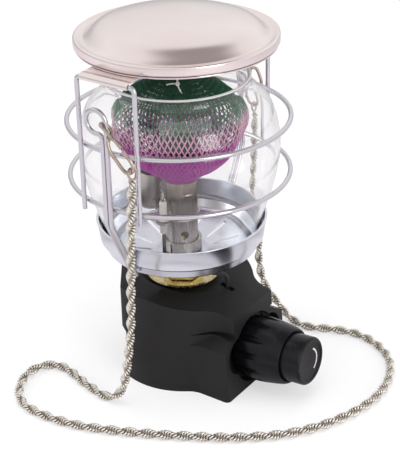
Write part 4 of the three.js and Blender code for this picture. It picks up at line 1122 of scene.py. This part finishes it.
def lid_cap():
    foot, rim, groove, crown = 183, 188, DOME_LINE[0][1], DOME_LINE[-1][1]
    outer = [
        (46.4, foot), (LID_RADIUS, foot, 0.3), (51.4, foot + LID_SHEET, 0.5),
        (51.4, rim - 0.1, 1.1), (50.1, rim + 0.05, 0.9), (47.9, groove, 0.7), (46.2, groove, 0.6),
    ]
    dome = smooth_line([(r, 0, z) for r, z in DOME_LINE], 1.5)[1:-1]
    outer += [(p.x, p.z) for p in dome] + [(0, crown)]
    inner = [(0, crown - LID_SHEET)]
    inner += [(p.x * 0.98, p.z - LID_SHEET) for p in reversed(dome)]
    inner += [
        (45.2, groove - LID_SHEET), (49.1, groove - LID_SHEET), (LID_RADIUS, rim - 2.3),
        (LID_RADIUS, foot + LID_SHEET), (46.4, foot + LID_SHEET),
    ]
    return turned(inner + outer, 160)


def lid_ear():
    """A strip of the plate that runs out to a bail and is hemmed round it."""
    middle = LID_PLATE_TOP - LID_SHEET / 2
    points = walked(
        [
            (0, EAR_START, middle), (0, BAIL_REACH - 4.8, middle, 3),
            (0, BAIL_REACH - 2.6, middle - 0.4, 2), (0, BAIL_REACH, middle, 0.9),
        ]
    )
    for a in (radians(8 * k) for k in range(1, 16)):
        points.append((0, BAIL_REACH + EAR_HEM * sin(a), BAIL_TOP + EAR_HEM * cos(a)))
    bm = moved(chained(points), shifted(-EAR_HALF))
    far = verts_of(bmesh.ops.extrude_edge_only(bm, edges=bm.edges[:]))
    bmesh.ops.translate(bm, verts=far, vec=(2 * EAR_HALF, 0, 0))
    bmesh.ops.solidify(outward(bm), geom=bm.faces[:], thickness=0.4)
    return outward(bm)


def lid_plate():
    """The plate under the cap, with an ear hemmed round each bail."""
    plate = eased(drum(LID_RADIUS, LID_PLATE_TOP - LID_SHEET, LID_PLATE_TOP, 128), 0.2, 60, 2)
    return carved(plate, lid_ear(), moved(lid_ear(), about_z(180)), how="UNION")


finished(lid_cap(), "lid_dome", LID_STEEL, "lid_steel", "lid_cap", body="lid", crease=50)
finished(lid_plate(), "lid_hemmed_plate", LID_STEEL, "lid_steel", "lid_plate", body="lid")


# Mantle: a knitted net of rayon yarn, gathered at both ends

MANTLE_FOOT = 103.8
MANTLE_HIGH = 66
MANTLE_LINE = [
    (9.3, 4.6), (10.8, 6.6), (14.4, 9.4), (21.5, 14), (30, 23.8), (35, 37), (32.7, 45.5),
    (26.4, 52.1), (16.9, 58.1), (10.3, 62.7), (3.2, 64.4), (2.7, 66),
]
MANTLE_COLUMNS = 76
YARN = 0.78
STRING = 0.7
DOUBLE_FOOT = 29  # height up to which the stitches lie double
DOUBLE_CONE = 50.5  # and from which they do again


def mantle_layer(bm, line, shift, inset, keep):
    """One layer of diamond stitches round the sock, where `keep` says so of a height."""
    dye = bm.verts.layers.float["dye"]
    luck = random.Random(11)
    rows = []
    for j, at in enumerate(line):
        row = []
        for i in range(MANTLE_COLUMNS):
            angle = TURN * (i + shift + (j % 2) / 2) / MANTLE_COLUMNS
            share = max(0, (at.x - 9) / 25)  # none at the necks, all at the girth
            fold = 1 + 0.033 * cos(9 * angle) * share
            wide = (at.x - inset) * fold + luck.uniform(-0.25, 0.1) * share
            rise = MANTLE_FOOT + at.z + luck.uniform(-0.35, 0.35) * share
            v = bm.verts.new((wide * cos(angle), wide * sin(angle), rise))
            v[dye] = min(1, max(0, at.z / MANTLE_HIGH + luck.uniform(-0.02, 0.02)))
            row.append(v)
        rows.append(row)
    for j in range(len(rows) - 2):
        if not keep(line[j + 1].z):
            continue
        low, middle, high = rows[j], rows[j + 1], rows[j + 2]
        for i in range(MANTLE_COLUMNS):
            k = (i + j % 2) % MANTLE_COLUMNS
            bm.faces.new((low[i], middle[k], high[i], middle[k - 1]))


def mantle_net():
    """The knitted sock, whose stitches are drawn together at its foot and its cone."""
    line = smooth_line([(r - 0.5, 0, z) for r, z in MANTLE_LINE], 2.9)
    bm = bmesh.new()
    bm.verts.layers.float.new("dye")
    mantle_layer(bm, line, 0, 0, lambda height: True)
    mantle_layer(bm, line, 0.5, 0.9, lambda height: height < DOUBLE_FOOT or height > DOUBLE_CONE)
    bmesh.ops.delete(bm, geom=[v for v in bm.verts if not v.link_faces], context="VERTS")
    how = {"use_replace": True, "use_boundary": True, "use_even_offset": True}
    bmesh.ops.wireframe(outward(bm), faces=bm.faces[:], thickness=YARN, offset=0.0, **how)
    return bm


mantle_piece = finished(mantle_net(), "mantle_net", RAYON, "mantle_fabric", "mantle", crease=180)


def wound(radius, height):
    """String wound twice, close, round a neck."""
    points = []
    for k in range(49):
        angle = TURN * k / 24
        points.append((radius * cos(angle), radius * sin(angle), height + STRING * k / 24))
    return swept(points, STRING, 8)


lower_tie = finished(wound(9.4, 109.2), "tie_lower", RAYON, "cotton", "lower_mantle_tie")
upper_tie = finished(wound(3.5, 168.6), "tie_upper", COTTON, "cotton", "upper_mantle_tie")


def string_tails():
    """The string's end over the cone of the mantle, with a knot and two tails."""
    down = [(2, -2.9, 169.3), (5.2, -7.4, 167.3), (7.8, -10.9, 165.2)]
    long_tail = [*down, (10.6, -12.3, 162.3), (13.4, -13, 159.2)]
    short_tail = [(7.8, -10.9, 165.4), (5.4, -12.7, 165.6), (3, -14, 164.9)]
    bm = bmesh.new()
    lean = Matrix.Rotation(radians(55), 4, "X")
    knot = moved(hoop(0.75, 0.9, 8, 16), lean, shifted(7.8, -10.9, 165.5))
    for part in (
        swept(smooth_line(long_tail, 0.8), 0.75, 8),
        swept(smooth_line(short_tail, 0.8), STRING, 8),
        knot,
    ):
        mesh = mesh_of(part, "string")
        bm.from_mesh(mesh)
        bpy.data.meshes.remove(mesh)
    return bm


string = finished(string_tails(), "tie_tails", COTTON, "cotton")


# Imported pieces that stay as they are, each with its own finish

for finish, *node_names in (
    (BRASS, "valve_body", "cartridge_collar", "valve_pin", "gland_nut"),
    (BRASS, "contact_pin", "contact_ring", "jet_holder", "gas_jet"),
    (RUBBER, "cartridge_seal", "spindle_oring"),
    (SPRING_STEEL, "valve_spindle", "pan_washer"),
    (NATURAL_NYLON, "piezo_igniter", "piezo_plunger"),
    (GAUZE_STEEL, "burner_gauze", "mantle_rod"),
    (LEAD_SLEEVE, "ignition_lead"),
):
    for node_name in node_names:
        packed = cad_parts[node_name].data
        packed.materials.clear()
        packed.materials.append(finish)


# Floor, light and background

WHITE = (1, 1, 1, 1)
FLOOR_HALF = 3  # metres
LIGHT_AIM = Vector((0, 0, 0.1))


def in_sight(rays):
    """Whether a ray comes straight from the camera or through the glass."""
    return maths("MAXIMUM", rays["Is Camera Ray"], rays["Is Transmission Ray"])


def white_paper():
    """A matte paper sweep that is half lit of itself where it is seen, and duller in metal."""
    made, shader, _ = new_finish("white_paper", "#f4f4f4", 0.9)
    tree = made.node_tree
    rays = add(tree, "ShaderNodeLightPath", {}).outputs
    tones = {0: rays["Is Glossy Ray"], 6: colour("#f4f4f4"), 7: colour("#d5d2d6")}
    feed(shader, "Base Color", add(tree, "ShaderNodeMix", tones, data_type="RGBA").outputs[2])
    feed(shader, "Specular IOR Level", 0.0)
    glow = add(tree, "ShaderNodeEmission", {"Color": WHITE, "Strength": 1.0})
    share = maths("MULTIPLY", in_sight(rays), 0.55)
    mix = add(tree, "ShaderNodeMixShader", {0: share, 1: shader.outputs[0], 2: glow.outputs[0]})
    feed(tree.nodes["Material Output"], "Surface", mix.outputs[0])
    return made


floor_form = bmesh.new()
bmesh.ops.create_grid(floor_form, x_segments=1, y_segments=1, size=FLOOR_HALF, matrix=shifted())
floor = object_of(floor_form, "floor")
floor.location.z = -0.1 * MM
floor.data.materials.append(white_paper())

world = bpy.data.worlds.new("studio")
scene.world = world
world.use_nodes = True
air = world.node_tree
air.nodes.clear()
sky = add(air, "ShaderNodeTexCoord", {}).outputs["Generated"]
# The room's darkest part is overhead and a little to the right
toward = {0: sky, 1: (0.18, 0.13, 0.97)}
height = add(air, "ShaderNodeVectorMath", toward, operation="DOT_PRODUCT").outputs["Value"]
tent = ramp(
    height,
    (0.0, "#c9c8ca"), (0.15, "#ececed"), (0.45, "#ffffff"), (0.82, "#f8f5f5"), (0.95, "#a39d9d"),
)
fill = add(air, "ShaderNodeBackground", {"Color": tent, "Strength": 0.97})
white = add(air, "ShaderNodeBackground", {"Color": WHITE, "Strength": 1.0})
sight = in_sight(add(air, "ShaderNodeLightPath", {}).outputs)
choice = add(air, "ShaderNodeMixShader", {0: sight, 1: fill.outputs[0], 2: white.outputs[0]})
add(air, "ShaderNodeOutputWorld", {"Surface": choice.outputs[0]})


def soft_light(name, place, wide, high, power, glossy):
    """A rectangular soft box that looks at the lantern, and shows in metal only if glossy."""
    data = bpy.data.lights.new(name, "AREA")
    data.shape = "RECTANGLE"
    data.size, data.size_y, data.energy = wide, high, power
    made = in_scene(name, data)
    made.location = place
    made.rotation_euler = (LIGHT_AIM - Vector(place)).to_track_quat("-Z", "Y").to_euler()
    made.visible_glossy = glossy


# The polished lid shows the pale room instead of the first two
soft_light("overhead", (0.1, -0.1, 1.1), 1.0, 1.0, 6.5, False)
soft_light("left", (-0.8, -0.6, 0.5), 0.6, 0.8, 3.0, False)
soft_light("right", (0.9, -0.3, 0.45), 0.4, 0.8, 2.5, True)

scene.view_settings.view_transform = "Standard"
